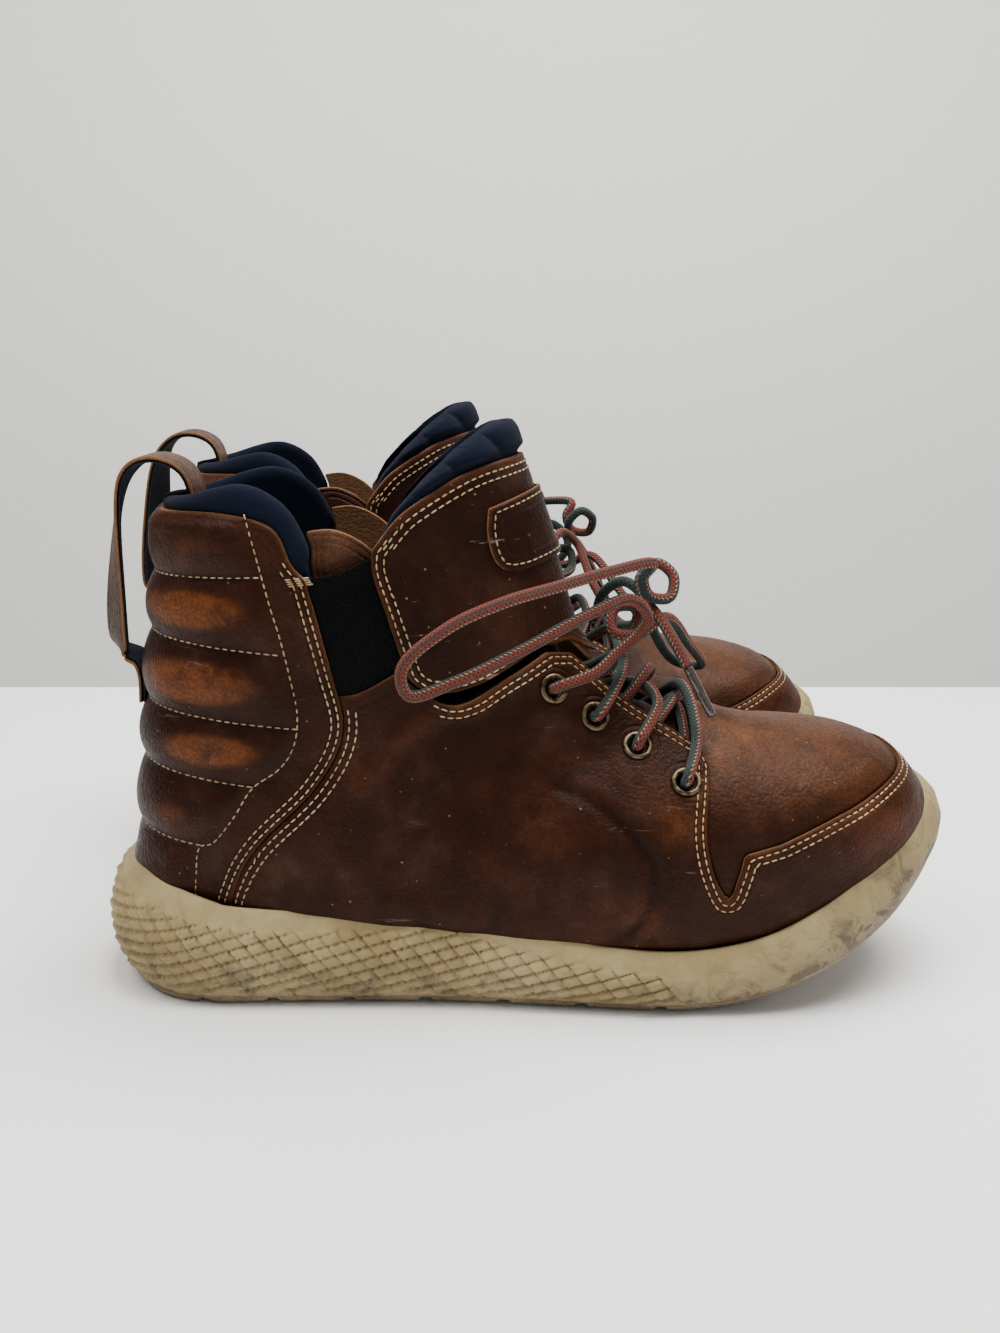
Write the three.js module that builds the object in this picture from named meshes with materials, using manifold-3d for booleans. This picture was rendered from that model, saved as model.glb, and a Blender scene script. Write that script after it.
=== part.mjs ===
// A pair of lace-up leather ankle boots: an EVA cup sole with a rubber tread, an oiled leather upper,
// elastic gores, a padded heel, a tongue cuff that tips forward, and a two-colour round lace.
// Millimetres, +X to the toes, +Z up. One boot is drawn as the right one and mirrored for the left.

import * as THREE from "three";
import { mergeVertices } from "three/addons/utils/BufferGeometryUtils.js";
import Module from "manifold-3d";

const wasm = await Module();
wasm.setup();

// ---- driving dimensions -------------------------------------------------------------------------
const bootLength = 315;
const bootWidth = 108;
const bootHeight = 206;
const pairSpacing = 114.5;
const leftSetBack = 17;
const toeOutDegrees = 4;

const clearance = 0.3;
const leather = 2.0;
const lining = 2.3;
const heelPadding = 5.7;
const treadThickness = 4.0;
const grooveDepth = 2.2;
const grooveWidth = 5;
const boardThickness = 2.2;
const footbedThickness = 5.5;
const footbedGap = 4.4;
const patchThickness = 1.2;
const strapThickness = 2.4;
const strapWidth = 19;
const eyeletDiameter = 10.7;
const eyeletBore = 7.2;
const eyeletHeight = 1.3;
const laceDiameter = 4;
const agletDiameter = 3.4;
const agletLength = 19;
const toeCurve = 7;

// The three overall sizes that the drawing below was made at.
const alongX = (x) => (x * bootLength) / 315;
const acrossY = (y) => (y * bootWidth) / 108;
const upZ = (z) => (z * bootHeight) / 206;

// ---- the foot form: sections from the top of the shaft to the toe -------------------------------
// Each section is a flattened ring whose side view is the straight line from its back point to its
// front point. half is its half width, widest is where along that line the half width is reached.
const sections = [
  { back: [31, 214], front: [142, 228], half: 35, widest: 0.44, frontRound: 2.0, backRound: 2.3 },
  { back: [29, 190], front: [150, 206], half: 36, widest: 0.44, frontRound: 2.0, backRound: 2.3 },
  { back: [27, 174], front: [156, 190], half: 37, widest: 0.44, frontRound: 2.0, backRound: 2.3 },
  { back: [24, 152], front: [163.5, 170], half: 38, widest: 0.43, frontRound: 2.0, backRound: 2.3 },
  { back: [21, 128], front: [169.5, 150], half: 38.5, widest: 0.42, frontRound: 2.0, backRound: 2.3 },
  { back: [18.5, 104], front: [176, 131], half: 38.5, widest: 0.4, frontRound: 2.0, backRound: 2.3 },
  { back: [15.5, 80], front: [186, 118], half: 39, widest: 0.37, frontRound: 2.0, backRound: 2.3 },
  { back: [13, 55], front: [199, 110], half: 41, widest: 0.35, frontRound: 2.0, backRound: 2.4 },
  { back: [19, 29], front: [213, 104], half: 43.5, widest: 0.36, frontRound: 2.0, backRound: 2.6 },
  { back: [60, 22], front: [226, 99], half: 46, widest: 0.38, frontRound: 2.1, backRound: 2.9 },
  { back: [110, 19], front: [238, 95.5], half: 48.5, widest: 0.39, frontRound: 2.2, backRound: 3.0 },
  { back: [160, 14.5], front: [249, 93.5], half: 50.5, widest: 0.39, frontRound: 2.3, backRound: 3.0 },
  { back: [203, 13], front: [260, 92], half: 51, widest: 0.39, frontRound: 2.4, backRound: 3.0 },
  { back: [238, 17], front: [271, 90], half: 49, widest: 0.4, frontRound: 2.5, backRound: 3.0 },
  { back: [266, 27], front: [283, 87], half: 44, widest: 0.42, frontRound: 2.5, backRound: 2.8 },
  { back: [288, 40], front: [295, 81.5], half: 35, widest: 0.44, frontRound: 2.4, backRound: 2.5 },
  { back: [301, 51], front: [303.5, 73], half: 22, widest: 0.46, frontRound: 2.2, backRound: 2.2 },
  { back: [307, 60], front: [307.5, 63], half: 4, widest: 0.5, frontRound: 2.0, backRound: 2.0 },
];
const lastSection = sections.length - 1;

// The toes lean a little towards the inner side of the foot.
const bend = (x) => toeCurve * THREE.MathUtils.clamp((x / bootLength - 0.54) / 0.444, 0, 1.2) ** 2;

// A smooth curve through equally spaced values, as used between the sections.
function smoothValue(values, place) {
  const index = Math.min(Math.floor(place), values.length - 2);
  const f = place - index;
  const at = (i) => values[THREE.MathUtils.clamp(i, 0, values.length - 1)];
  const [a, b, c, d] = [at(index - 1), at(index), at(index + 1), at(index + 2)];
  return 0.5 * (2 * b + (c - a) * f + (2 * a - 5 * b + 4 * c - d) * f ** 2 + (3 * b - a - 3 * c + d) * f ** 3);
}

// One section of the form grown (or shrunk) by an offset measured from the leather's outer face.
function sectionAt(place, offset) {
  const value = (pick) => smoothValue(sections.map(pick), place);
  const back = [alongX(value((s) => s.back[0])), upZ(value((s) => s.back[1]))];
  const front = [alongX(value((s) => s.front[0])), upZ(value((s) => s.front[1]))];
  const depth = Math.hypot(front[0] - back[0], front[1] - back[1]);
  const along = [(front[0] - back[0]) / depth, (front[1] - back[1]) / depth];
  const grow = Math.max(offset, 0.2 - depth / 2);
  const toeShift = offset * THREE.MathUtils.clamp((place - lastSection + 1.5) / 1.5, 0, 1);
  return {
    back: [back[0] - along[0] * grow + toeShift, back[1] - along[1] * grow],
    front: [front[0] + along[0] * grow + toeShift, front[1] + along[1] * grow],
    half: Math.max(acrossY(value((s) => s.half)) + offset, 0.4),
    widest: value((s) => s.widest),
    frontRound: value((s) => s.frontRound),
    backRound: value((s) => s.backRound),
  };
}

// The point of a section at an angle: 0 at the front, pi at the back, negative on the outer side.
function ringPoint(section, angle) {
  const front = Math.abs(angle) <= Math.PI / 2;
  const power = 2 / (front ? section.frontRound : section.backRound);
  const reach = Math.abs(Math.cos(angle)) ** power * (front ? 1 - section.widest : -section.widest);
  const share = section.widest + reach;
  const x = section.back[0] + (section.front[0] - section.back[0]) * share;
  const z = section.back[1] + (section.front[1] - section.back[1]) * share;
  const y = Math.sign(angle) * section.half * Math.abs(Math.sin(angle)) ** power;
  return [x, y + bend(x), z];
}

// Where the form's surface is for a place in the side view, on the outer (-1) or inner (1) side.
function surfacePoint(x, z, offset, side) {
  const lies = (place) => {
    const s = sectionAt(place, offset);
    return (s.front[0] - s.back[0]) * (z - s.back[1]) - (s.front[1] - s.back[1]) * (x - s.back[0]);
  };
  let [low, high] = [0, lastSection - 0.01];
  for (let i = 0; i < 40; i++) {
    const middle = (low + high) / 2;
    if (lies(middle) < 0) low = middle;
    else high = middle;
  }
  const s = sectionAt(low, offset);
  const depth = Math.hypot(s.front[0] - s.back[0], s.front[1] - s.back[1]);
  const share = THREE.MathUtils.clamp(Math.hypot(x - s.back[0], z - s.back[1]) / depth, 0, 1);
  const inFront = share > s.widest;
  const reach = inFront ? (share - s.widest) / (1 - s.widest) : (s.widest - share) / s.widest;
  const round = inFront ? s.frontRound : s.backRound;
  const y = s.half * (1 - reach ** round) ** (1 / round);
  return new THREE.Vector3(x, side * y + bend(x), z);
}

function surfaceNormal(x, z, side) {
  const step = 1;
  const alongSurface = surfacePoint(x + step, z, 0, side).sub(surfacePoint(x - step, z, 0, side));
  const upSurface = surfacePoint(x, z + step, 0, side).sub(surfacePoint(x, z - step, 0, side));
  return alongSurface.cross(upSurface).normalize().multiplyScalar(-side);
}

// ---- solids ----------------------------------------------------------------------------------
function toSolid(geometry) {
  const bare = geometry.clone();
  bare.deleteAttribute("normal");
  bare.deleteAttribute("uv");
  const merged = mergeVertices(bare, 1e-5);
  const mesh = new wasm.Mesh({
    numProp: 3,
    vertProperties: new Float32Array(merged.attributes.position.array),
    triVerts: new Uint32Array(merged.index.array),
  });
  return new wasm.Manifold(mesh);
}

function toGeometry(solid) {
  const mesh = solid.getMesh();
  const geometry = new THREE.BufferGeometry();
  geometry.setAttribute("position", new THREE.BufferAttribute(mesh.vertProperties, 3));
  geometry.setIndex(new THREE.BufferAttribute(mesh.triVerts, 1));
  geometry.computeVertexNormals();
  return geometry;
}

// A closed skin over rings of equal length: ladder caps join each ring's two sides at both ends.
function ringSolid(rings) {
  const count = rings[0].length;
  const positions = rings.flat(2);
  const triangles = [];
  for (let r = 0; r + 1 < rings.length; r++) {
    for (let i = 0; i < count; i++) {
      const j = (i + 1) % count;
      const [a, b] = [r * count + i, r * count + j];
      const [c, d] = [a + count, b + count];
      triangles.push(a, b, d, a, d, c);
    }
  }
  for (const [start, flip] of [[0, true], [(rings.length - 1) * count, false]]) {
    for (let i = 0; i < count / 2; i++) {
      const [a, b] = [start + i, start + ((i + 1) % count)];
      const [c, d] = [start + ((count - i) % count), start + count - i - 1];
      if (a !== c) triangles.push(...(flip ? [a, c, b] : [a, b, c]));
      if (b !== d) triangles.push(...(flip ? [b, c, d] : [b, d, c]));
    }
  }
  const geometry = new THREE.BufferGeometry();
  geometry.setAttribute("position", new THREE.Float32BufferAttribute(positions, 3));
  geometry.setIndex(triangles);
  return toSolid(geometry);
}

const rowsPerSection = 1.1;
const pointsAround = 18;

// The solid foot form at an offset; deeper, if given, adds an offset that depends on the place.
function formSolid(offset, deeper = () => 0) {
  const rings = [];
  const rows = Math.round(lastSection * rowsPerSection);
  for (let row = 0; row <= rows; row++) {
    const place = (lastSection * row) / rows;
    const section = sectionAt(place, offset + deeper(place));
    const ring = [];
    for (let i = 0; i < pointsAround; i++) {
      const turn = i <= pointsAround / 2 ? i : i - pointsAround;
      ring.push(ringPoint(section, (-turn * 2 * Math.PI) / pointsAround));
    }
    rings.push(ring);
  }
  return ringSolid(rings);
}

const shell = (outer, inner) => formSolid(outer).subtract(formSolid(inner));

// ---- pattern outlines in the side view --------------------------------------------------------
const point = ([x, z]) => new THREE.Vector2(alongX(x), upZ(z));
const curveThrough = (places, steps) => new THREE.SplineCurve(places.map(point)).getPoints(steps);

// A straight extrusion across the boot of a side-view outline, grown by a margin.
function regionSolid(outline, margin = 0, [from, to] = [-90, 90]) {
  const clockwise = THREE.ShapeUtils.isClockWise(outline);
  const grown = outline.map((p, i) => {
    const before = outline[(i + outline.length - 1) % outline.length];
    const after = outline[(i + 1) % outline.length];
    const one = p.clone().sub(before).normalize();
    const two = after.clone().sub(p).normalize();
    const tangent = one.clone().add(two).normalize();
    const outward = new THREE.Vector2(tangent.y, -tangent.x).multiplyScalar(clockwise ? -1 : 1);
    const stretch = 1 / Math.max(Math.abs(tangent.dot(one)), 0.5);
    return p.clone().addScaledVector(outward, margin * stretch);
  });
  const geometry = new THREE.ExtrudeGeometry(new THREE.Shape(grown), { depth: to - from, bevelEnabled: false });
  geometry.rotateX(Math.PI / 2);
  geometry.translate(0, to, 0);
  return toSolid(geometry);
}

const heelFrontEdge = curveThrough(
  [[50, 8], [51.5, 37.6], [61.5, 58.7], [83.3, 81], [93.3, 101], [89.8, 123], [82.6, 153.8]], 11);
const heelTopEdge = curveThrough([[82.6, 153.8], [77.8, 159], [71.5, 171], [53, 175.2], [28, 174.3]], 10);
const heelOutline = [...heelFrontEdge, ...heelTopEdge.slice(1), point([-20, 174]), point([-20, 8])];

const underGoreEdge = curveThrough([[91.8, 113.6], [99.7, 114.8], [112.7, 121.8]], 4);
const notchEdge = curveThrough([[112.7, 121.8], [117.4, 116.8], [131.8, 109.1], [150.4, 117.5], [164.3, 124.8]], 7);
const laceEdge = curveThrough([[172.7, 123.4], [186.4, 110.2], [201.3, 100.2], [218.3, 91.4]], 6);
const tabEdge = curveThrough([[220.6, 86.8], [217.8, 69.1], [219.9, 55.3], [225.5, 43.8], [228.9, 52], [231, 60]], 9);
const apronEdge = curveThrough([[243.9, 63.3], [268.4, 72.9], [292.9, 80.7], [330, 83]], 5);
const quarterTop = [...underGoreEdge, ...notchEdge.slice(1), ...laceEdge];
const belowQuarter = [point([330, -10]), point([50, -10])];
const heelJoin = heelFrontEdge.filter((p) => p.y < upZ(112));
const quarterOutline = [...heelJoin, ...quarterTop, ...tabEdge, ...apronEdge, ...belowQuarter];
const vampOutline = [point([219.4, 93]), point([217, 125]), point([330, 125]), point([330, 40]), point([215, 40])];
// The lining stops short of the eyelet rows, so that the lace can turn under the leather.
const liningTop = curveThrough([[150.4, 106], [165, 99], [188, 82], [206, 70], [218, 82]], 6);
const footLiningOutline = [
  ...heelJoin, ...underGoreEdge, ...notchEdge.slice(1, 6), ...liningTop,
  point([219, 100]), point([219, 125]), point([330, 125]), ...belowQuarter,
];

const cuffRear = curveThrough([[105, 163.3], [104.8, 155.6], [108.9, 142.4], [113.6, 127.2], [116.5, 118.5]], 7);
const cuffLow = curveThrough([[122, 114.4], [131, 114], [141, 116.8], [151, 121.6], [161, 127]], 6);
const cuffTop = curveThrough([[156, 192.5], [137, 187.8], [117.7, 177], [110.5, 170.5]], 8);
const cuffFront = [point([173, 127.4]), point([184, 120.4]), point([215, 120.4]), point([215, 192.5])];
const cuffOutline = [...cuffRear, ...cuffLow, ...cuffFront, ...cuffTop];
const rollTop = curveThrough([[156, 206], [146, 202], [134, 194], [121, 183], [113, 175]], 8);
const cuffLiningOutline = [
  ...curveThrough([[108.5, 168], [107, 157], [111.5, 143], [116, 128], [119, 120]], 6),
  ...curveThrough([[124, 116.8], [132, 116.4], [141, 119], [151, 123.8], [161, 129]], 6),
  point([173, 129.4]), point([184, 122.6]), point([215, 122.6]), point([215, 206]), ...rollTop,
];
const goreOutline = [
  point([70, 150]), ...curveThrough([[82.6, 154.3], [92, 155.4], [106, 161.3]], 4),
  point([125, 161]), point([125, 100]), point([70, 100]),
];
const patchOutline = [
  ...curveThrough([[142.8, 175.6], [142.4, 168], [144.6, 159], [149, 154.6], [156, 154.6]], 6),
  point([170, 158]), point([200, 166]), point([200, 190]), point([158, 180.6]),
];
const collarOutline = [
  ...heelFrontEdge.slice(0, -1), ...curveThrough([[82.2, 158], [82.1, 165], [74.2, 177.6], [59, 184.1], [38, 179.5]], 9),
  point([28, 177.5]), point([-20, 177.5]), point([-20, 8]),
];
const flapOutline = [
  ...curveThrough([[80, 112], [98, 103], [116, 106], [124, 116], [121, 138], [108, 160], [93, 169], [78, 168]], 16),
];
const gussetOutline = [
  ...curveThrough([[142, 118], [158, 104], [185, 91], [214, 79], [248, 80]], 8),
  point([252, 110]), point([200, 124]), point([181, 128]), point([160, 136]), point([146, 132]),
];

// The line of the boot's floor in the side view, and slabs that follow it.
const floorPlaces = [[-12, 27.6], [25, 26.8], [60, 22.4], [110, 19.4], [160, 15], [203, 13.6], [238, 17.6], [266, 27.6],
  [288, 40.6], [303, 54], [330, 80]];
function floorSlab(from, to, sides) {
  const line = curveThrough(floorPlaces, 15);
  const lift = (height) => line.map((p) => new THREE.Vector2(p.x, p.y + height));
  return regionSolid([...lift(from), ...lift(to).reverse()], 0, sides);
}
const aboveBoard = floorSlab(boardThickness + clearance, 260);

// ---- sole ---------------------------------------------------------------------------------------
const soleTopPlaces = [47.5, 42.8, 38, 36.8, 38, 36.6, 30.6, 25.3, 24, 28, 38.5, 54, 70];
const soleGroundPlaces = [3, 0, 0, 0, 0, 0, 0, 0, 0.3, 4, 13.5, 27, 44];
const soleWidthPlaces = [44, 45, 46, 46, 46, 46.5, 48.5, 51, 53.4, 54, 53, 50, 46];
const pointsAlongSole = 18;

function soleEdge(share) {
  const x = (bootLength * (1 - Math.cos(Math.PI * share))) / 2;
  const place = (x / bootLength) * (soleTopPlaces.length - 1);
  const heel = Math.max(0, 1 - x / alongX(46));
  const toe = Math.max(0, (x - alongX(243)) / alongX(72));
  const round = (1 - heel ** 2.3) ** (1 / 2.3) * (1 - toe ** 2.25) ** (1 / 2.25);
  return {
    x, heel, toe,
    half: acrossY(smoothValue(soleWidthPlaces, place)) * round,
    top: upZ(smoothValue(soleTopPlaces, place)),
    ground: smoothValue(soleGroundPlaces, place),
  };
}

// One level of the sole: inset pulls it in, and height gives its z from the edge's own numbers.
function soleRing(inset, height) {
  const sides = [[], []];
  for (let i = 0; i <= pointsAlongSole; i++) {
    const edge = soleEdge(i / pointsAlongSole);
    const pull = inset(edge);
    const middle = (edge.x - bootLength / 2) / (bootLength / 2);
    const x = edge.x - (pull * Math.sign(middle) * middle ** 2);
    const y = Math.max(edge.half - pull * (1 - middle ** 4), 0);
    const z = height(edge);
    sides[0].push([x, -y + bend(x), z]);
    sides[1].push([x, y + bend(x), z]);
  }
  return [...sides[0], ...sides[1].slice(1, -1).reverse()];
}

const treadInset = (edge) => 2.6 + 2 * edge.heel;

function makeMidsole() {
  const bottom = (edge) => edge.ground + treadThickness + clearance;
  const between = (share) => (edge) => bottom(edge) + (edge.top - bottom(edge)) * share;
  const lip = (edge) => 3.4 + 8.6 * edge.heel ** 0.7 + 5.4 * edge.toe;
  const rings = [
    soleRing(treadInset, bottom),
    soleRing(() => 0.4, between(0.25)),
    soleRing(() => 0, between(0.5)),
    soleRing((edge) => 0.35 * lip(edge), between(0.8)),
    soleRing(lip, between(1)),
    soleRing((edge) => lip(edge) + 2, between(1)),
    soleRing((edge) => lip(edge) + 9, between(0.9)),
  ];
  return ringSolid(rings).subtract(formSolid(clearance));
}

function boxSolid(width, depth, height, x, y, z) {
  const box = new THREE.BoxGeometry(width, depth, height);
  box.translate(x, y, z);
  return toSolid(box);
}

function makeOutsole() {
  const level = (height) => (edge) => edge.ground + height;
  const rings = [
    soleRing((edge) => treadInset(edge) + 3.4, level(0)),
    soleRing((edge) => treadInset(edge) + 1, level(treadThickness * 0.5)),
    soleRing(treadInset, level(treadThickness)),
  ];
  let tread = ringSolid(rings);
  const grooves = [38, 64, 92, 120, 148, 176, 204];
  for (const place of grooves) {
    tread = tread.subtract(boxSolid(grooveWidth, 150, 2 * grooveDepth, alongX(place), 0, 0));
  }
  return tread;
}

// ---- upper ------------------------------------------------------------------------------------
const eyeletPlaces = [[165.8, 112.3], [180.5, 102.1], [195.3, 92.3], [211.6, 82.1]];

function eyeletFrame(place, side) {
  const [x, z] = [alongX(place[0]), upZ(place[1])];
  const position = surfacePoint(x, z, 0, side);
  const turn = new THREE.Quaternion().setFromUnitVectors(new THREE.Vector3(0, 1, 0), surfaceNormal(x, z, side));
  return new THREE.Matrix4().compose(position, turn, new THREE.Vector3(1, 1, 1));
}

function drillEyelets(panel) {
  let drilled = panel;
  for (const side of [-1, 1]) {
    for (const place of eyeletPlaces) {
      const drill = new THREE.CylinderGeometry(eyeletBore / 2 + 1, eyeletBore / 2 + 1, 14, 8);
      drilled = drilled.subtract(toSolid(drill.applyMatrix4(eyeletFrame(place, side))));
    }
  }
  return drilled;
}

function eyeletGeometry(place, side) {
  const bore = eyeletBore / 2;
  const rim = eyeletDiameter / 2;
  const seat = 2 * clearance;
  const profile = [
    [bore, -leather], [bore + 0.6, -leather], [bore + 0.6, seat], [rim, seat],
    [rim - 0.8, seat + eyeletHeight], [bore, seat + 0.6 * eyeletHeight], [bore, -leather],
  ].map(([radius, height]) => new THREE.Vector2(radius, height));
  return new THREE.LatheGeometry(profile, 10).applyMatrix4(eyeletFrame(place, side));
}

// The folded strap, grown by a margin where another piece makes room for it.
function makePullLoop(margin = 0) {
  // Its inner leg lies on the collar's lining, so it moves with what the heel's wall is made of.
  const wall = leather + clearance + heelPadding;
  const innerLeg = [[31.6, 154], [31.8, 174], [28.5, 186]].map(point);
  innerLeg.forEach((place) => place.setX(place.x + wall));
  const outerLeg = [[27, 190.5], [17.5, 187.5], [11.8, 176.5], [8.6, 150], [7.4, 126], [9.6, 120.6],
    [14.6, 117.6], [16.9, 112.5], [16.7, 103]].map(point);
  const path = new THREE.SplineCurve([...innerLeg, ...outerLeg]);
  const steps = 24;
  const [inside, outside] = [[], []];
  for (let i = 0; i <= steps; i++) {
    const middle = path.getPoint(i / steps);
    const tangent = path.getTangent(i / steps);
    const across = new THREE.Vector2(-tangent.y, tangent.x).multiplyScalar(strapThickness / 2 + margin);
    inside.push(middle.clone().add(across));
    outside.push(middle.clone().sub(across));
  }
  const reach = strapWidth / 2 + margin;
  return regionSolid([...inside, ...outside.reverse()], 0, [-reach, reach]);
}

// ---- lace ---------------------------------------------------------------------------------------
// One cord from aglet to aglet: top knot, outer bow loop, lower knot, down and up through the eight
// eyelets, then the inner bow loop. The places stay as chosen, in the right boot's own frame.
const laceRoute = [
  [212.5, -22, 120], [208, -19, 128.5], [203, -14, 136], [198.5, -8, 141.5], [197, -5, 148], [202.5, -4, 153.5],
  [208.5, -7, 149.5], [207, -11, 142.5], [199.5, -13.5, 143.5], [197, -14.5, 150], [200, -17, 155.5],
  [184, -29, 155], [166, -42, 152.5], [148, -53, 149.5], [130, -60, 142.5], [116, -62.5, 130], [118, -62, 121.3],
  [133, -58.5, 125], [153, -50, 132.5], [175, -36, 141], [192, -24, 144.5], [198.5, -19.5, 137], [195.5, -16, 130],
  [188.5, -18.5, 124.5], [180, -24.5, 118.4], [169, -27.6, 115],
  [165.8, -23.2, 112.3], [164, -18.7, 110.6], [175.5, -12, 111.3], [187.6, 0, 113.9], [189.9, 14.8, 114.5],
  [181.7, 27.1, 104.3], [180.5, 23.3, 102.1], [179.2, 18.9, 99.6], [187.4, 13.5, 103.8], [198.9, 0, 107.8],
  [203.2, -17.8, 105], [195.7, -29.9, 95.5], [195.3, -26.6, 92.3], [194.8, -22.9, 88.7], [201.8, -16, 95.4],
  [211.8, 0, 102.8], [216.3, 26.4, 95.3], [211.5, 40.1, 85.3], [211.6, 36.8, 82.1], [211.7, 33.4, 78.9],
  [213.5, 16.5, 92.8], [213.5, 0, 98], [213.5, -16.2, 92.6],
  [211.5, -32.2, 78.9], [211.6, -35.6, 82.1], [211.7, -38.9, 85.3], [216.4, -24.9, 95.2], [213.6, 0, 107.4],
  [204, 15.1, 96.2], [194.9, 23.3, 88.7], [195.3, 27.1, 92.3], [195.6, 30.4, 95.5], [203.2, 18.6, 105],
  [201.4, 0, 113], [190.4, -11, 102.8], [179.1, -18.9, 99.6], [180.5, -23.2, 102.1], [181.7, -27, 104.3],
  [189.9, -14.8, 114.5], [191, 0, 119.2], [178.5, 10, 111.2], [164, 18.7, 110.6], [165.8, 23.2, 112.3],
  [169, 27.6, 115], [180, 24.5, 118.4], [189, 15.5, 125.5], [197, 7.5, 128.5], [196.5, 2, 136], [188.5, -1, 136],
  [188, -5, 128.5], [197, -6, 128], [207, -1, 133], [218, 14, 120], [226, 29, 107], [217, 32, 107.5],
  [206, 19, 122.5], [203, 9.5, 131.5], [200, 3, 139.5], [193, 5, 145], [186, 15, 139], [184, 27, 127],
];

// A smooth curve whose steps fall on the chosen places, short ones at the knots and the eyelets.
class CordCurve extends THREE.CatmullRomCurve3 {
  getPointAt(share) {
    return this.getPoint(share);
  }
  getTangentAt(share) {
    return this.getTangent(share);
  }
}

function roundSection(diameter, sides) {
  const shape = new THREE.Shape();
  for (let i = 0; i < sides; i++) {
    const angle = (2 * Math.PI * i) / sides;
    const [u, v] = [(diameter / 2) * Math.cos(angle), (diameter / 2) * Math.sin(angle)];
    if (i === 0) shape.moveTo(u, v);
    else shape.lineTo(u, v);
  }
  return shape;
}

function laceGeometry() {
  const curve = new CordCurve(laceRoute.map((place) => new THREE.Vector3(...place)));
  const steps = laceRoute.length - 1;
  return new THREE.ExtrudeGeometry(roundSection(laceDiameter, 8), { steps, extrudePath: curve });
}

function agletGeometry(end, before) {
  const tip = new THREE.Vector3(...end);
  const direction = tip.clone().sub(new THREE.Vector3(...before)).normalize();
  const tube = new THREE.CylinderGeometry(agletDiameter / 2, agletDiameter / 2, agletLength, 10);
  const turn = new THREE.Quaternion().setFromUnitVectors(new THREE.Vector3(0, 1, 0), direction);
  const middle = tip.addScaledVector(direction, agletLength / 2 + clearance);
  return tube.applyMatrix4(new THREE.Matrix4().compose(middle, turn, new THREE.Vector3(1, 1, 1)));
}

// ---- colours ------------------------------------------------------------------------------------
const paint = (color, roughness, metalness = 0) => ({ color, roughness, metalness });
const leatherBrown = paint(0x5a2c1c, 0.45);
const cuffBrown = paint(0x4a2319, 0.5);
const creamFoam = paint(0xb9a274, 0.8);
const treadRubber = paint(0x8d7a56, 0.85);
const navyMesh = paint(0x1b2745, 0.95);
const blackElastic = paint(0x141416, 0.9);
const boardGrey = paint(0x9a968c, 0.9);
const antiqueBrass = paint(0x6d5f42, 0.4, 0.9);
const laceRust = paint(0x7c3a2c, 0.9);
const agletBrown = paint(0x1e1612, 0.4);

// ---- the boot -----------------------------------------------------------------------------------
const outer = shell(0, -leather).intersect(aboveBoard);
const innerFrom = -(leather + clearance);
const innerTo = innerFrom - lining;
const heel = regionSolid(heelOutline);
const heelGrown = regionSolid(heelOutline, clearance);
const quarterGrown = regionSolid(quarterOutline, clearance);
const cuffGrown = regionSolid(cuffOutline, clearance);

const gore = outer.intersect(regionSolid(goreOutline)).subtract(heelGrown).subtract(quarterGrown).subtract(cuffGrown);
const collarTo = innerFrom - heelPadding;
const collarGrown = shell(innerFrom, collarTo - 3 * clearance).intersect(regionSolid(collarOutline, 3 * clearance));
const flapFrom = collarTo + 1.6;
const flap = shell(flapFrom, flapFrom - lining).intersect(regionSolid(flapOutline))
  .subtract(regionSolid(collarOutline, clearance));
const halfSpace = (side) => boxSolid(400, 80, 400, 150, side * 40.2, 100);
const lacingDepth = 6.8;
const gussetDip = (place) => -lacingDepth * THREE.MathUtils.smoothstep(10.9 - place, 0, 1.7);
const gussetFrom = innerTo - clearance;
const gusset = formSolid(gussetFrom, gussetDip).subtract(formSolid(gussetFrom - lining, gussetDip));

const pieces = {
  outsole: [makeOutsole(), treadRubber],
  midsole: [makeMidsole(), creamFoam],
  insole_board: [formSolid(0).intersect(floorSlab(-20, boardThickness)), boardGrey],
  footbed: [
    formSolid(innerTo - footbedGap).subtract(collarGrown).intersect(
      floorSlab(boardThickness + clearance, boardThickness + clearance + footbedThickness)), navyMesh],
  vamp: [outer.intersect(regionSolid(vampOutline)).subtract(quarterGrown), leatherBrown],
  quarter_wrap: [drillEyelets(outer.intersect(regionSolid(quarterOutline)).subtract(heelGrown)), leatherBrown],
  heel_panel: [outer.intersect(heel), leatherBrown],
  foot_lining: [
    shell(innerFrom, innerTo).intersect(aboveBoard).intersect(regionSolid(footLiningOutline))
      .subtract(heelGrown),
    navyMesh],
  collar_lining: [
    shell(innerFrom, collarTo).intersect(aboveBoard).intersect(regionSolid(collarOutline))
      .subtract(makePullLoop(clearance / 2)),
    navyMesh],
  gore_lateral: [gore.intersect(halfSpace(-1)), blackElastic],
  gore_medial: [gore.intersect(halfSpace(1)), blackElastic],
  ankle_flap_lateral: [flap.intersect(halfSpace(-1)), cuffBrown],
  ankle_flap_medial: [flap.intersect(halfSpace(1)), cuffBrown],
  tongue_gusset: [gusset.intersect(regionSolid(gussetOutline)), cuffBrown],
  tongue_cuff: [outer.intersect(regionSolid(cuffOutline)), cuffBrown],
  tongue_lining: [shell(innerFrom, innerTo).intersect(regionSolid(cuffLiningOutline)), navyMesh],
  tongue_patch: [shell(clearance + patchThickness, clearance).intersect(regionSolid(patchOutline)), cuffBrown],
  pull_loop: [makePullLoop(), leatherBrown],
};

// Each piece goes into both boots: the left one is the right one mirrored and turned toe-out.
const rightBoot = new THREE.Group();
const leftBoot = new THREE.Group();
rightBoot.position.set(0, -pairSpacing / 2, 0);
leftBoot.scale.y = -1;
leftBoot.position.set(-leftSetBack, pairSpacing / 2, 0);
leftBoot.rotation.z = THREE.MathUtils.degToRad(toeOutDegrees);
const pair = new THREE.Group();
pair.add(rightBoot, leftBoot);

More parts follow.
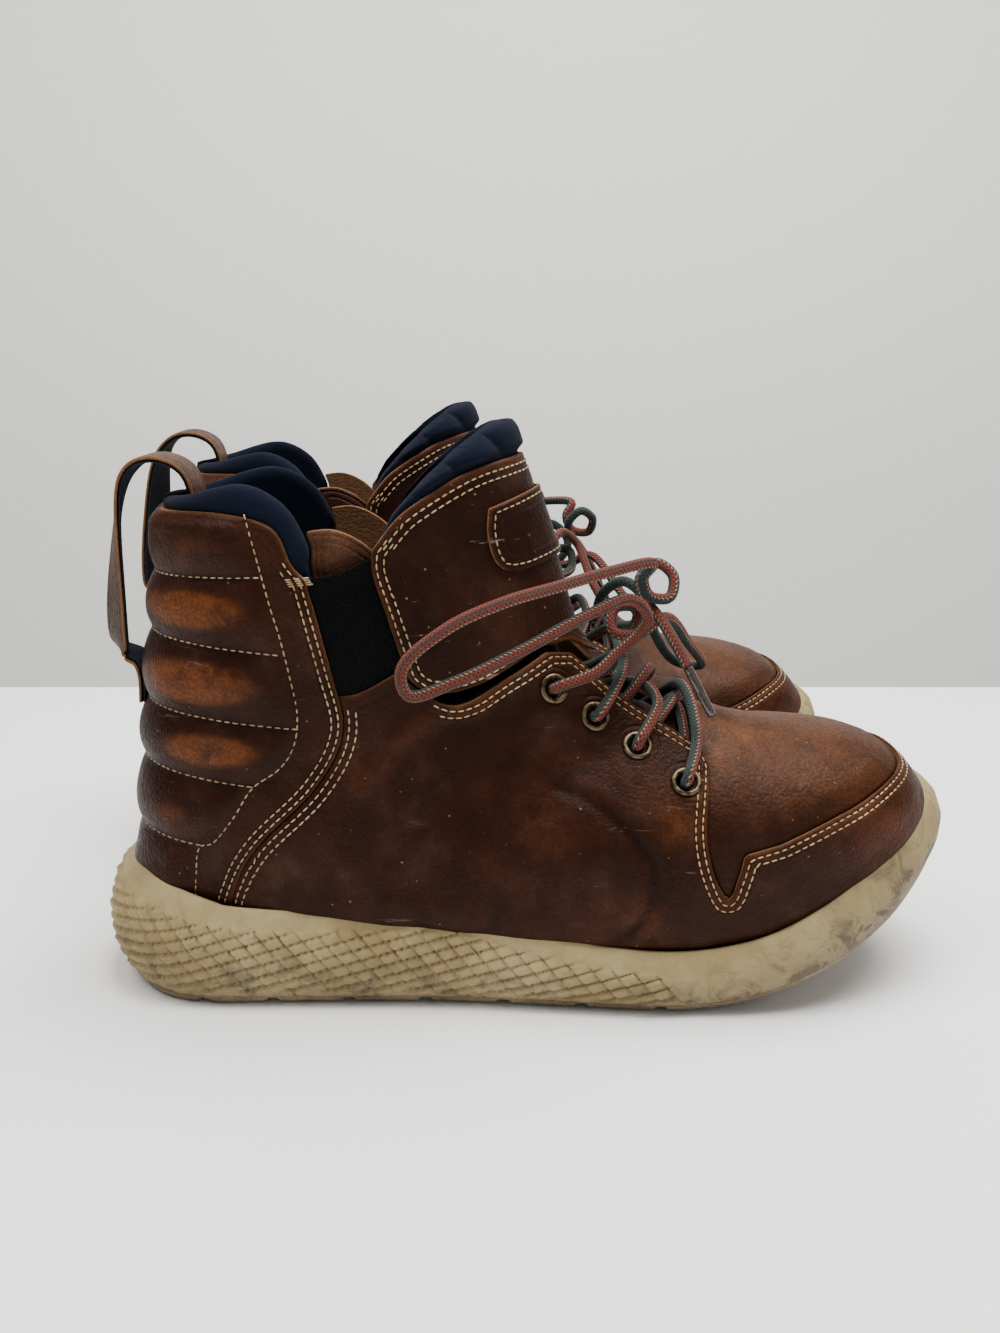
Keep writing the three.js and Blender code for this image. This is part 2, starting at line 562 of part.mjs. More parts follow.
function addPiece(name, geometry, look) {
  for (const [boot, word] of [[rightBoot, "right"], [leftBoot, "left"]]) {
    const mesh = new THREE.Mesh(geometry, new THREE.MeshStandardMaterial(look));
    mesh.name = `${word}_${name}`;
    boot.add(mesh);
  }
}
for (const [name, [solid, look]] of Object.entries(pieces)) addPiece(name, toGeometry(solid), look);
for (const [side, word] of [[-1, "lateral"], [1, "medial"]]) {
  eyeletPlaces.forEach((place, i) => addPiece(`eyelet_${word}_${i + 1}`, eyeletGeometry(place, side), antiqueBrass));
}

// The origin is on the ground under the middle of the two boots, without their laces.
const middle = new THREE.Box3().setFromObject(pair, true).getCenter(new THREE.Vector3());
pair.position.set(-middle.x, -middle.y, 0);
addPiece("lace", laceGeometry(), laceRust);
addPiece("aglet_1", agletGeometry(laceRoute[0], laceRoute[1]), agletBrown);
addPiece("aglet_2", agletGeometry(laceRoute.at(-1), laceRoute.at(-2)), agletBrown);
export default pair;
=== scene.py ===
import math
import bpy
import numpy as np
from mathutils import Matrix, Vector


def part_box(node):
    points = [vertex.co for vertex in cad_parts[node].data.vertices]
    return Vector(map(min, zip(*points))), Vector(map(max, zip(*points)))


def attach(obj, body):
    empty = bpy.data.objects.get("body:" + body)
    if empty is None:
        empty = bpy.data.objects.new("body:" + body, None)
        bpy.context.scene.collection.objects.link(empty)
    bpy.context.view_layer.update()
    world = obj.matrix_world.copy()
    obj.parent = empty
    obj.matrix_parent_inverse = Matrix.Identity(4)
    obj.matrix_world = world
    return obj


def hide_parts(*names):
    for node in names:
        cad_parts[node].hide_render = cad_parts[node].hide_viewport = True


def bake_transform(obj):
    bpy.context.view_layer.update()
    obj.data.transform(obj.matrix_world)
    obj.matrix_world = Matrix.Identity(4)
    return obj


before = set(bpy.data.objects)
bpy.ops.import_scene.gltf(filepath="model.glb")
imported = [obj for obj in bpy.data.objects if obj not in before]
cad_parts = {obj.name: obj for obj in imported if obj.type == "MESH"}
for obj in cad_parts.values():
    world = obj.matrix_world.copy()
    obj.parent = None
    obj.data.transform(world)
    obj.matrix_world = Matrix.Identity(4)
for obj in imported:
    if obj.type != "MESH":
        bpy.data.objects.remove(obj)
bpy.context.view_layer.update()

# ---- camera, light and floor -----------------------------------------------------------------
# A pair of ankle boots on a white table in a pale room, seen from a little above, from the outer
# side of the right boot.
right_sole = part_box("right_midsole")
right_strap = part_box("right_pull_loop")
BOOT_ORIGIN = np.array([right_sole[0][0], (right_strap[0][1] + right_strap[1][1]) / 2, 0.0])

camera_data = bpy.data.cameras.new("camera")
camera_data.lens = 32.14
camera_data.sensor_width = 36.0
camera = bpy.data.objects.new("camera", camera_data)
bpy.context.collection.objects.link(camera)
camera.location = Vector(BOOT_ORIGIN) + Vector((0.14696, -0.42375, 0.2293))
camera.rotation_euler = (math.radians(90.0 - 15.208), 0.0, 0.0)
bpy.context.scene.camera = camera


def area_light(name, place, aim, size, watts, colour):
    data = bpy.data.lights.new(name, "AREA")
    data.energy = watts
    data.size = size
    data.color = colour
    lamp = bpy.data.objects.new(name, data)
    bpy.context.collection.objects.link(lamp)
    lamp.location = place
    lamp.rotation_euler = (Vector(aim) - Vector(place)).to_track_quat("-Z", "Y").to_euler()


area_light("window", (-0.65, -0.35, 1.35), (0.0, 0.0, 0.08), 0.8, 13.0, (1.0, 0.97, 0.93))
area_light("ceiling", (0.30, 0.05, 1.5), (0.0, 0.0, 0.05), 1.0, 48.0, (1.0, 0.98, 0.96))
area_light("fill", (0.9, -0.8, 0.6), (0.05, 0.0, 0.08), 0.8, 1.2, (0.93, 0.96, 1.0))
world = bpy.data.worlds.new("room")
world.use_nodes = True
# the room looks pale, and gives the boots only a little light from all round
room = world.node_tree.nodes["Background"]
room.inputs["Color"].default_value = (0.95, 0.96, 0.97, 1.0)
seen = world.node_tree.nodes.new("ShaderNodeLightPath")
strength = world.node_tree.nodes.new("ShaderNodeMapRange")
strength.inputs["To Min"].default_value = 0.19
strength.inputs["To Max"].default_value = 0.64
world.node_tree.links.new(seen.outputs["Is Camera Ray"], strength.inputs["Value"])
world.node_tree.links.new(strength.outputs[0], room.inputs["Strength"])
bpy.context.scene.world = world


def stage_plane(name, corners, colour, bump, glow=0.0):
    mesh = bpy.data.meshes.new(name)
    mesh.from_pydata(corners, [], [(0, 1, 2, 3)])
    plane = bpy.data.objects.new(name, mesh)
    bpy.context.collection.objects.link(plane)
    material = bpy.data.materials.new(name)
    material.use_nodes = True
    tree = material.node_tree
    shader = tree.nodes["Principled BSDF"]
    shader.inputs["Base Color"].default_value = (*colour, 1.0)
    shader.inputs["Roughness"].default_value = 0.8
    shader.inputs["Emission Color"].default_value = (*colour, 1.0)
    shader.inputs["Emission Strength"].default_value = glow
    place = tree.nodes.new("ShaderNodeTexCoord")
    noise = tree.nodes.new("ShaderNodeTexNoise")
    noise.inputs["Scale"].default_value = 90.0
    noise.inputs["Detail"].default_value = 4.0
    height = tree.nodes.new("ShaderNodeBump")
    height.inputs["Strength"].default_value = bump
    height.inputs["Distance"].default_value = 0.002
    tree.links.new(place.outputs["Object"], noise.inputs["Vector"])
    tree.links.new(noise.outputs["Fac"], height.inputs["Height"])
    tree.links.new(height.outputs["Normal"], shader.inputs["Normal"])
    mesh.materials.append(material)


TABLE_EDGE_Y = 0.30
WALL_Y = 1.4
stage_plane("floor", [(-3, -2, 0), (3, -2, 0), (3, TABLE_EDGE_Y, 0), (-3, TABLE_EDGE_Y, 0)],
            (0.96, 0.965, 0.97), 0.02)
stage_plane("wall", [(-4, WALL_Y, -1.5), (4, WALL_Y, -1.5), (4, WALL_Y, 3), (-4, WALL_Y, 3)],
            (0.92, 0.91, 0.88), 0.5, glow=0.42)

# ---- laces -------------------------------------------------------------------------------------
# One round braided cord for each boot, rust red on one half and teal on the other, with pale
# flecks where they meet. It runs from aglet to aglet through the eyelets, a knot and two bow loops.
MM = 0.001
LACE_DIAMETER = 4.0
PAIR_SPACING = 114.5
LEFT_SET_BACK = 17.0
TOE_OUT = math.radians(4.0)
LACE_ROUTE = [
    (212.5, -22, 120), (208, -19, 128.5), (203, -14, 136), (198.5, -8, 141.5), (197, -5, 148), (202.5, -4, 153.5),
    (208.5, -7, 149.5), (207, -11, 142.5), (199.5, -13.5, 143.5), (197, -14.5, 150), (200, -17, 155.5),
    (184, -29, 155), (166, -42, 152.5), (148, -53, 149.5), (130, -60, 142.5), (116, -62.5, 130), (118, -62, 121.3),
    (133, -58.5, 125), (153, -50, 132.5), (175, -36, 141), (192, -24, 144.5), (198.5, -19.5, 137), (195.5, -16, 130),
    (188.5, -18.5, 124.5), (180, -24.5, 118.4), (169, -27.6, 115),
    (165.8, -23.2, 112.3), (164, -18.7, 110.6), (175.5, -12, 111.3), (187.6, 0, 113.9), (189.9, 14.8, 114.5),
    (181.7, 27.1, 104.3), (180.5, 23.3, 102.1), (179.2, 18.9, 99.6), (187.4, 13.5, 103.8), (198.9, 0, 107.8),
    (203.2, -17.8, 105), (195.7, -29.9, 95.5), (195.3, -26.6, 92.3), (194.8, -22.9, 88.7), (201.8, -16, 95.4),
    (211.8, 0, 102.8), (216.3, 26.4, 95.3), (211.5, 40.1, 85.3), (211.6, 36.8, 82.1), (211.7, 33.4, 78.9),
    (213.5, 16.5, 92.8), (213.5, 0, 98), (213.5, -16.2, 92.6),
    (211.5, -32.2, 78.9), (211.6, -35.6, 82.1), (211.7, -38.9, 85.3), (216.4, -24.9, 95.2), (213.6, 0, 107.4),
    (204, 15.1, 96.2), (194.9, 23.3, 88.7), (195.3, 27.1, 92.3), (195.6, 30.4, 95.5), (203.2, 18.6, 105),
    (201.4, 0, 113), (190.4, -11, 102.8), (179.1, -18.9, 99.6), (180.5, -23.2, 102.1), (181.7, -27, 104.3),
    (189.9, -14.8, 114.5), (191, 0, 119.2), (178.5, 10, 111.2), (164, 18.7, 110.6), (165.8, 23.2, 112.3),
    (169, 27.6, 115), (180, 24.5, 118.4), (189, 15.5, 125.5), (197, 7.5, 128.5), (196.5, 2, 136), (188.5, -1, 136),
    (188, -5, 128.5), (197, -6, 128), (207, -1, 133), (218, 14, 120), (226, 29, 107), (217, 32, 107.5),
    (206, 19, 122.5), (203, 9.5, 131.5), (200, 3, 139.5), (193, 5, 145), (186, 15, 139), (184, 27, 127),
]


def right_place(points):
    """Places in the right boot's own frame, in mm, as metres in the frame of the pair."""
    return np.asarray(points, float) * MM + BOOT_ORIGIN


def left_place(points):
    """The same, mirrored, set back and turned toe-out for the left boot."""
    p = np.asarray(points, float)
    c, s = math.cos(TOE_OUT), math.sin(TOE_OUT)
    x = c * p[..., 0] + s * p[..., 1] - LEFT_SET_BACK
    y = s * p[..., 0] - c * p[..., 1] + PAIR_SPACING
    return np.stack([x, y, p[..., 2]], axis=-1) * MM + BOOT_ORIGIN


SIDES = {"right": right_place, "left": left_place}


def centripetal_curve(route, per_span):
    """A centripetal Catmull-Rom curve through the places of a cord's route."""
    p = np.asarray(route, float)
    p = np.vstack([2 * p[0] - p[1], p, 2 * p[-1] - p[-2]])
    line = []
    for i in range(1, len(p) - 2):
        knots = [0.0]
        for j in range(3):
            knots.append(knots[-1] + max(np.linalg.norm(p[i + j] - p[i + j - 1]), 1e-6) ** 0.5)
        share = np.linspace(0, 1, per_span, endpoint=False)[:, None]
        t = knots[1] + (knots[2] - knots[1]) * share

        def mix(a, b, ta, tb):
            return (tb - t) / (tb - ta) * a + (t - ta) / (tb - ta) * b

        a1 = mix(p[i - 1], p[i], knots[0], knots[1])
        a2 = mix(p[i], p[i + 1], knots[1], knots[2])
        a3 = mix(p[i + 1], p[i + 2], knots[2], knots[3])
        b1 = mix(a1, a2, knots[0], knots[2])
        b2 = mix(a2, a3, knots[1], knots[3])
        line.append(mix(b1, b2, knots[1], knots[2]))
    return np.vstack(line + [p[-2][None]])


def even_steps(line, step):
    """The same line with points at even steps along it."""
    lengths = np.concatenate([[0], np.cumsum(np.linalg.norm(np.diff(line, axis=0), axis=1))])
    count = max(2, int(round(lengths[-1] / step)) + 1)
    wanted = np.linspace(0, lengths[-1], count)
    return np.stack([np.interp(wanted, lengths, line[:, k]) for k in range(line.shape[1])], axis=1)


def carried_frames(line, start=(0.0, 0.0, 1.0)):
    """Two directions across a line that turn with it as little as they can."""
    tangent = np.gradient(line, axis=0)
    tangent /= np.linalg.norm(tangent, axis=1)[:, None]
    first = np.zeros_like(line)
    side = np.asarray(start, float)
    for i, way in enumerate(tangent):
        side = side - way * side.dot(way)
        side /= np.linalg.norm(side)
        first[i] = side
    return first, np.cross(tangent, first)


def volume_of(mesh):
    """The volume inside a closed mesh, negative where its faces point inwards."""
    mesh.calc_loop_triangles()
    corners = np.zeros(len(mesh.loop_triangles) * 3, np.int32)
    mesh.loop_triangles.foreach_get("vertices", corners)
    places = np.zeros(len(mesh.vertices) * 3, np.float32)
    mesh.vertices.foreach_get("co", places)
    a, b, c = places.reshape(-1, 3)[corners].reshape(-1, 3, 3).transpose(1, 0, 2)
    return float((np.cross(a, b) * c).sum())


def new_piece(name, points, faces, side, slot, material, uv=None, **values):
    """A mesh piece of one boot, with its per-point values and its own pattern map, in mm."""
    mesh = bpy.data.meshes.new(name)
    mesh.from_pydata(SIDES[side](points).tolist(), [], [tuple(map(int, f)) for f in faces])
    if volume_of(mesh) < 0:
        mesh.flip_normals()
    for key, data in values.items():
        layer = mesh.attributes.new(key, "FLOAT", "POINT")
        layer.data.foreach_set("value", np.asarray(data, np.float32))
    if uv is not None:
        loops = np.zeros(len(mesh.loops), np.int32)
        mesh.loops.foreach_get("vertex_index", loops)
        layer = mesh.uv_layers.new(name="pattern")
        layer.data.foreach_set("uv", np.asarray(uv, np.float32)[loops].ravel())
    mesh.shade_smooth()
    mesh.materials.append(material)
    piece = bpy.data.objects.new(name, mesh)
    bpy.context.collection.objects.link(piece)
    return piece


def tube_walls(rings, around):
    """Faces between rings of equal length."""
    faces = []
    for r in range(rings - 1):
        for k in range(around):
            a, b = r * around + k, r * around + (k + 1) % around
            faces.append((a, b, b + around, a + around))
    return faces


def closed_tube_faces(rings, around):
    """The same with a flat cap on each end ring."""
    last = (rings - 1) * around
    return tube_walls(rings, around) + [tuple(range(around))[::-1], tuple(range(last, last + around))]


def tube_mesh(line, radius, around):
    """Rings of a round tube along a line, closed at both ends; returns points, faces and a map."""
    first, second = carried_frames(line)
    turn = np.arange(around) * 2 * math.pi / around
    radius = np.broadcast_to(radius, len(line))
    ring = np.cos(turn)[None, :, None] * first[:, None] + np.sin(turn)[None, :, None] * second[:, None]
    points = (line[:, None] + ring * radius[:, None, None]).reshape(-1, 3)
    faces = closed_tube_faces(len(line), around)
    run = np.concatenate([[0], np.cumsum(np.linalg.norm(np.diff(line, axis=0), axis=1))])
    uv = np.stack([np.tile(np.arange(around) / around, len(line)), np.repeat(run, around)], axis=1)
    return points, faces, uv


class Nodes:
    """Short ways to add and join nodes in one shader or geometry tree."""

    def __init__(self, tree):
        self.tree = tree

    def add(self, kind, **settings):
        node = self.tree.nodes.new(kind)
        for key, value in settings.items():
            setattr(node, key, value)
        return node

    def feed(self, socket, value):
        if isinstance(value, bpy.types.NodeSocket):
            self.tree.links.new(value, socket)
        elif value is not None:
            socket.default_value = value

    def math(self, operation, *values, clamp=False):
        node = self.add("ShaderNodeMath", operation=operation, use_clamp=clamp)
        for socket, value in zip(node.inputs, values):
            self.feed(socket, value)
        return node.outputs[0]

    def mix(self, share, one, two):
        node = self.add("ShaderNodeMix", data_type="RGBA")
        self.feed(node.inputs[0], share)
        for socket, value in ((node.inputs[6], one), (node.inputs[7], two)):
            self.feed(socket, (*value, 1.0) if isinstance(value, tuple) and len(value) == 3 else value)
        return node.outputs[2]

    def step(self, value, low, high, out_low=0.0, out_high=1.0):
        node = self.add("ShaderNodeMapRange", interpolation_type="SMOOTHSTEP")
        for socket, number in zip(node.inputs, (value, low, high, out_low, out_high)):
            self.feed(socket, number)
        return node.outputs[0]

    def noise(self, vector, scale, detail=3.0, rough=0.55, distort=0.0):
        node = self.add("ShaderNodeTexNoise")
        self.feed(node.inputs["Vector"], vector)
        for key, number in (("Scale", scale), ("Detail", detail), ("Roughness", rough), ("Distortion", distort)):
            node.inputs[key].default_value = number
        return node.outputs["Fac"]

    def place(self):
        return self.add("ShaderNodeTexCoord").outputs["Object"]

    def parts(self, vector):
        node = self.add("ShaderNodeSeparateXYZ")
        self.feed(node.inputs[0], vector)
        return node.outputs

    def pattern(self):
        """The two parts of the piece's own pattern map."""
        return self.parts(self.add("ShaderNodeUVMap", uv_map="pattern").outputs[0])[:2]

    def value_of(self, name):
        return self.add("ShaderNodeAttribute", attribute_name=name).outputs["Fac"]

    def bump(self, height, strength, distance):
        node = self.add("ShaderNodeBump")
        node.inputs["Strength"].default_value = strength
        node.inputs["Distance"].default_value = distance
        self.feed(node.inputs["Height"], height)
        return node.outputs["Normal"]


def new_material(name, roughness=0.5, **fixed):
    material = bpy.data.materials.new(name)
    material.use_nodes = True
    shader = material.node_tree.nodes["Principled BSDF"]
    shader.inputs["Roughness"].default_value = roughness
    for key, value in fixed.items():
        shader.inputs[key.replace("_", " ")].default_value = value
    return material, Nodes(material.node_tree), shader


def lace_material():
    material, n, shader = new_material("lace_braid", 0.8, Sheen_Weight=0.08, Specular_IOR_Level=0.15)
    around, along = n.pattern()
    pitch = n.math("MULTIPLY", along, 0.62)
    repeat = n.math("FRACT", pitch)
    turns = n.math("MULTIPLY", around, 7.0)
    one = n.math("PINGPONG", n.math("ADD", turns, pitch), 0.5)
    two = n.math("PINGPONG", n.math("SUBTRACT", turns, pitch), 0.5)
    braid = n.math("MAXIMUM", one, two)
    fine = n.noise(n.place(), 2600.0, 2.0)
    wobble = n.math("MULTIPLY", n.math("SUBTRACT", one, 0.25), 0.10)
    half = n.math("PINGPONG", n.math("ADD", around, wobble), 0.5)
    teal = n.step(half, 0.235, 0.265)
    edge = n.math("ABSOLUTE", n.math("SUBTRACT", half, 0.25))
    fleck = n.math("MULTIPLY", n.step(edge, 0.034, 0.016), n.step(repeat, 0.5, 0.6))
    red = n.mix(fine, (0.10, 0.018, 0.012), (0.24, 0.055, 0.034))
    green = n.mix(fine, (0.012, 0.026, 0.023), (0.040, 0.072, 0.064))
    colour = n.mix(teal, red, green)
    colour = n.mix(n.math("MULTIPLY", fleck, 0.75), colour, (0.40, 0.35, 0.26))
    # painted shade: the gaps between the braid's strands are coloured dark
    colour = n.mix(n.step(braid, 0.34, 0.22), colour, (0.03, 0.018, 0.014))
    n.feed(shader.inputs["Base Color"], colour)
    height = n.math("ADD", braid, n.math("MULTIPLY", fine, 0.15))
    n.feed(shader.inputs["Normal"], n.bump(height, 0.9, 0.0006))
    return material


LACE = lace_material()
AGLET, aglet_nodes, aglet_shader = new_material("aglet_film", 0.25, Coat_Weight=0.5)
aglet_noise = aglet_nodes.noise(aglet_nodes.place(), 700.0)
aglet_colour = aglet_nodes.mix(aglet_noise, (0.02, 0.014, 0.012), (0.06, 0.04, 0.032))
aglet_nodes.feed(aglet_shader.inputs["Base Color"], aglet_colour)
lace_line = even_steps(centripetal_curve(LACE_ROUTE, 14), 1.1)
AGLET_LENGTH = 19.0
for side, place in SIDES.items():
    points, faces, uv = tube_mesh(lace_line, LACE_DIAMETER / 2, 12)
    lace = new_piece(f"{side}_lace_cord", points, faces, side, "lace_cord", LACE, uv)
    for number, (end, before) in enumerate(((0, 1), (-1, -2)), 1):
        way = lace_line[end] - lace_line[before]
        way /= np.linalg.norm(way)
        stops = np.array([0.0, 0.3, 2.0, 2.3, 2.6, 9.0, 9.3, 9.6, 16.0, 18.4, AGLET_LENGTH])
        widths = np.array([1.5, 1.68, 1.68, 1.58, 1.68, 1.68, 1.58, 1.68, 1.66, 1.5, 1.0])
        points, faces, uv = tube_mesh(lace_line[end] + (stops[:, None] + 0.3) * way, widths, 20)
        aglet = new_piece(f"{side}_lace_aglet_{number}", points, faces, side, "aglet_plastic", AGLET, uv)
        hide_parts(f"{side}_aglet_{number}")
        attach(aglet, f"{side}_boot")
    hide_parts(f"{side}_lace")
    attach(lace, f"{side}_boot")
    centre = place(lace_line[::4])

# ---- soles -------------------------------------------------------------------------------------
# A cup sole of cream foam with a rubber tread under it. Its heel and waist carry a moulded lattice
# of slanted cells and the forepart is smooth. Patchy grime and painted shade darken it low down and
# towards the forepart, and painted shade darkens the grooves.
SOLE_TOP = [47.5, 42.8, 38, 36.8, 38, 36.6, 30.6, 25.3, 24, 28, 38.5, 54, 70]
SOLE_GROUND = [3, 0, 0, 0, 0, 0, 0, 0, 0.3, 4, 13.5, 27, 44]
SOLE_WIDTH = [44, 45, 46, 46, 46, 46.5, 48.5, 51, 53.4, 54, 53, 50, 46]
FLOOR_PLACES = [(-12, 27.6), (25, 26.8), (60, 22.4), (110, 19.4), (160, 15), (203, 13.6), (238, 17.6), (266, 27.6),
                (288, 40.6), (303, 54), (330, 80)]
TREAD_THICKNESS = 4.0
GROOVES = (38, 64, 92, 120, 148, 176, 204)
BOOT_LENGTH = 315.0


def toe_bend(x):
    return 7.0 * np.clip((x / BOOT_LENGTH - 0.54) / 0.444, 0, 1.2) ** 2


def between_rows(table, place):
    """A smooth curve through equally spaced rows of values."""
    table = np.asarray(table, float)
    place = np.asarray(place, float)
    row = np.minimum(np.floor(place).astype(int), len(table) - 2)
    f = (place - row).reshape(place.shape + (1,) * (table.ndim - 1))
    a, b, c, d = (table[np.clip(row + i, 0, len(table) - 1)] for i in (-1, 0, 1, 2))
    return 0.5 * (2 * b + (c - a) * f + (2 * a - 5 * b + 4 * c - d) * f ** 2 + (3 * b - a - 3 * c + d) * f ** 3)


def sole_edge(x):
    place = x / BOOT_LENGTH * (len(SOLE_TOP) - 1)
    heel = np.clip(1 - x / 46, 0, 1)
    toe = np.clip((x - 243) / 72, 0, 1)
    ends = (1 - heel ** 2.3) ** (1 / 2.3) * (1 - toe ** 2.25) ** (1 / 2.25)
    return {"x": x, "heel": heel, "toe": toe, "half": between_rows(SOLE_WIDTH, place) * ends,
            "top": between_rows(SOLE_TOP, place), "ground": between_rows(SOLE_GROUND, place)}


def sole_stations(step):
    """Places along the sole that lie evenly along its curved edge."""
    x = (BOOT_LENGTH * (1 - np.cos(np.linspace(0, math.pi, 3001)))) / 2
    edge = np.stack([x, sole_edge(x)["half"]], axis=1)
    run = np.concatenate([[0], np.cumsum(np.linalg.norm(np.diff(edge, axis=0), axis=1))])
    return np.interp(np.linspace(0, run[-1], int(run[-1] / step)), run, x)


def sole_ring(edge, inset, height):
    middle = (edge["x"] - BOOT_LENGTH / 2) / (BOOT_LENGTH / 2)
    x = edge["x"] - inset * np.sign(middle) * middle ** 2
    y = np.maximum(edge["half"] - inset * (1 - middle ** 4), 0)
    outer = np.stack([x, toe_bend(x) - y, height], axis=1)
    inner = np.stack([x, toe_bend(x) + y, height], axis=1)
    return np.vstack([outer, inner[-2:0:-1]])


def ring_faces(rings, around):
    """Faces between rings of equal length, and ladder caps that join the two sides of the end rings."""
    faces = tube_walls(rings, around)
    for start, flip in ((0, True), ((rings - 1) * around, False)):
        for k in range(around // 2):
            steps = [start + k, start + k + 1, start + (around - k - 1) % around, start + (around - k) % around]
            rung = [v for i, v in enumerate(steps) if v not in steps[:i]]
            faces.append(tuple(rung[::-1] if flip else rung))
    return faces


def wall_noise(n, place):
    broad = n.noise(place, 30.0, 6.0, 0.65)
    fine = n.noise(place, 900.0, 4.0, 0.6)
    return broad, fine


def foam_material():
    material, n, shader = new_material("cream_foam", 0.62, Specular_IOR_Level=0.3)
    place = n.place()
    broad, fine = wall_noise(n, place)
    low, groove_shade = n.value_of("low"), n.value_of("groove_shade")
    colour = n.mix(n.step(broad, 0.35, 0.7), (0.30, 0.220, 0.095), (0.43, 0.335, 0.165))
    stain = n.noise(place, 90.0, 5.0, 0.7, 0.8)
    grime_and_shade = n.math("MULTIPLY", n.step(stain, 0.36, 0.70), n.math("ADD", n.math("MULTIPLY", low, 0.85), 0.22))
    # painted shade: the grooves between the lattice cells are darkened
    colour = n.mix(n.math("MULTIPLY", n.step(groove_shade, 0.30, 0.95), 0.85), colour, (0.090, 0.058, 0.024))
    # painted shade: an even darkening low down and towards the forepart, over the patchy grime
    grime_and_shade = n.math("MAXIMUM", grime_and_shade, n.math("MULTIPLY", low, 0.36), clamp=True)
    colour = n.mix(grime_and_shade, colour, (0.10, 0.075, 0.045))
    colour = n.mix(n.math("MULTIPLY", n.step(fine, 0.58, 0.72), 0.22), colour, (0.24, 0.18, 0.09))
    scuff_way = n.add("ShaderNodeMapping")
    n.feed(scuff_way.inputs["Vector"], place)
    scuff_way.inputs["Scale"].default_value = (60.0, 60.0, 420.0)
    scuff = n.step(n.noise(scuff_way.outputs[0], 1.0, 3.0), 0.68, 0.75)
    colour = n.mix(n.math("MULTIPLY", scuff, 0.35), colour, (0.12, 0.09, 0.06))
    n.feed(shader.inputs["Base Color"], colour)
    n.feed(shader.inputs["Roughness"], n.step(fine, 0.2, 0.8, 0.5, 0.78))
    n.feed(shader.inputs["Normal"], n.bump(n.math("ADD", fine, n.math("MULTIPLY", stain, 0.6)), 0.35, 0.0005))
    return material


FOAM = foam_material()


def open_tree(name, **sizes):
    """A Geometry Nodes tree with named sizes and a material; returns its nodes and its inputs."""
    tree = bpy.data.node_groups.new(name, "GeometryNodeTree")
    tree.interface.new_socket("Geometry", in_out="INPUT", socket_type="NodeSocketGeometry")
    for key, value in sizes.items():
        socket = tree.interface.new_socket(key.replace("_", " "), in_out="INPUT", socket_type="NodeSocketFloat")
        socket.default_value = value
    tree.interface.new_socket("Material", in_out="INPUT", socket_type="NodeSocketMaterial")
    tree.interface.new_socket("Geometry", in_out="OUTPUT", socket_type="NodeSocketGeometry")
    n = Nodes(tree)
    return n, n.add("NodeGroupInput").outputs


def close_tree(n, given, geometry):
    """Ends a tree: its instances are made real and take the given material."""
    whole = n.add("GeometryNodeRealizeInstances")
    n.feed(whole.inputs[0], geometry)
    finish = n.add("GeometryNodeSetMaterial")
    n.feed(finish.inputs["Geometry"], whole.outputs[0])
    n.feed(finish.inputs["Material"], given["Material"])
    n.feed(n.add("NodeGroupOutput").inputs[0], finish.outputs[0])
    return n.tree


def lattice_tree():
    """Raises slanted cells on the wall of a sole: each has one high corner and falls to its grooves."""
    n, given = open_tree("sole_lattice", Cell_length=7.3, Cell_height=4.4, Steep_lean=0.85, Shallow_lean=-0.30,
                         Relief=1.9, Groove=0.15)

    def named(key, kind="FLOAT"):
        node = n.add("GeometryNodeInputNamedAttribute", data_type=kind)
        node.inputs["Name"].default_value = key
        return node.outputs["Attribute"]

    run, up, share = named("run"), named("up"), named("latticed")
    steep = n.math("ADD", run, n.math("MULTIPLY", up, given["Steep lean"]))
    steep = n.math("DIVIDE", steep, given["Cell length"])
    shallow = n.math("ADD", up, n.math("MULTIPLY", run, given["Shallow lean"]))
    shallow = n.math("DIVIDE", shallow, given["Cell height"])
    p, q = n.math("FRACT", steep), n.math("FRACT", shallow)

    def near_edge(value):
        return n.math("MINIMUM", value, n.math("SUBTRACT", 1.0, value))

    across = n.math("DIVIDE", near_edge(p), given["Groove"], clamp=True)
    along = n.math("DIVIDE", near_edge(q), given["Groove"], clamp=True)
    crown = n.math("MINIMUM", n.math("SQRT", across), n.math("SQRT", along))
    tilt = n.math("ADD", n.math("MULTIPLY", q, 0.75), n.math("MULTIPLY", p, -0.45))
    height = n.math("MULTIPLY", n.math("MULTIPLY", crown, n.math("ADD", 0.75, tilt)), given["Relief"])
    height = n.math("MULTIPLY", n.math("SUBTRACT", height, 0.75), share)
    move = n.add("ShaderNodeVectorMath", operation="SCALE")
    n.feed(move.inputs[0], named("outward", "FLOAT_VECTOR"))
    n.feed(move.inputs["Scale"], n.math("MULTIPLY", height, MM))
    place = n.add("GeometryNodeSetPosition")
    n.feed(place.inputs["Geometry"], given["Geometry"])
    n.feed(place.inputs["Offset"], move.outputs[0])
    # how deep a point lies in the grooves, kept for the foam's painted shade
    note = n.add("GeometryNodeStoreNamedAttribute", data_type="FLOAT", domain="POINT")
    note.inputs["Name"].default_value = "groove_shade"
    n.feed(note.inputs["Geometry"], place.outputs[0])
    n.feed(note.inputs["Value"], n.math("MULTIPLY", n.math("SUBTRACT", 1.0, crown), share))
    return close_tree(n, given, note.outputs[0])


def socket_name(tree, name):
    return next(item.identifier for item in tree.interface.items_tree
                if item.item_type == "SOCKET" and item.in_out == "INPUT" and item.name == name)


def grown_by(tree, name, mesh, **given):
    """Runs a Geometry Nodes tree on a mesh and returns the finished plain mesh as a new object."""
    piece = bpy.data.objects.new(name, mesh)
    bpy.context.collection.objects.link(piece)
    modifier = piece.modifiers.new("grow", "NODES")
    modifier.node_group = tree
    for key, value in given.items():
        modifier[socket_name(tree, key.replace("_", " "))] = value
    ready = bpy.data.meshes.new_from_object(piece.evaluated_get(bpy.context.evaluated_depsgraph_get()))
    piece.modifiers.clear()
    piece.data = ready
    ready.name = name
    return piece


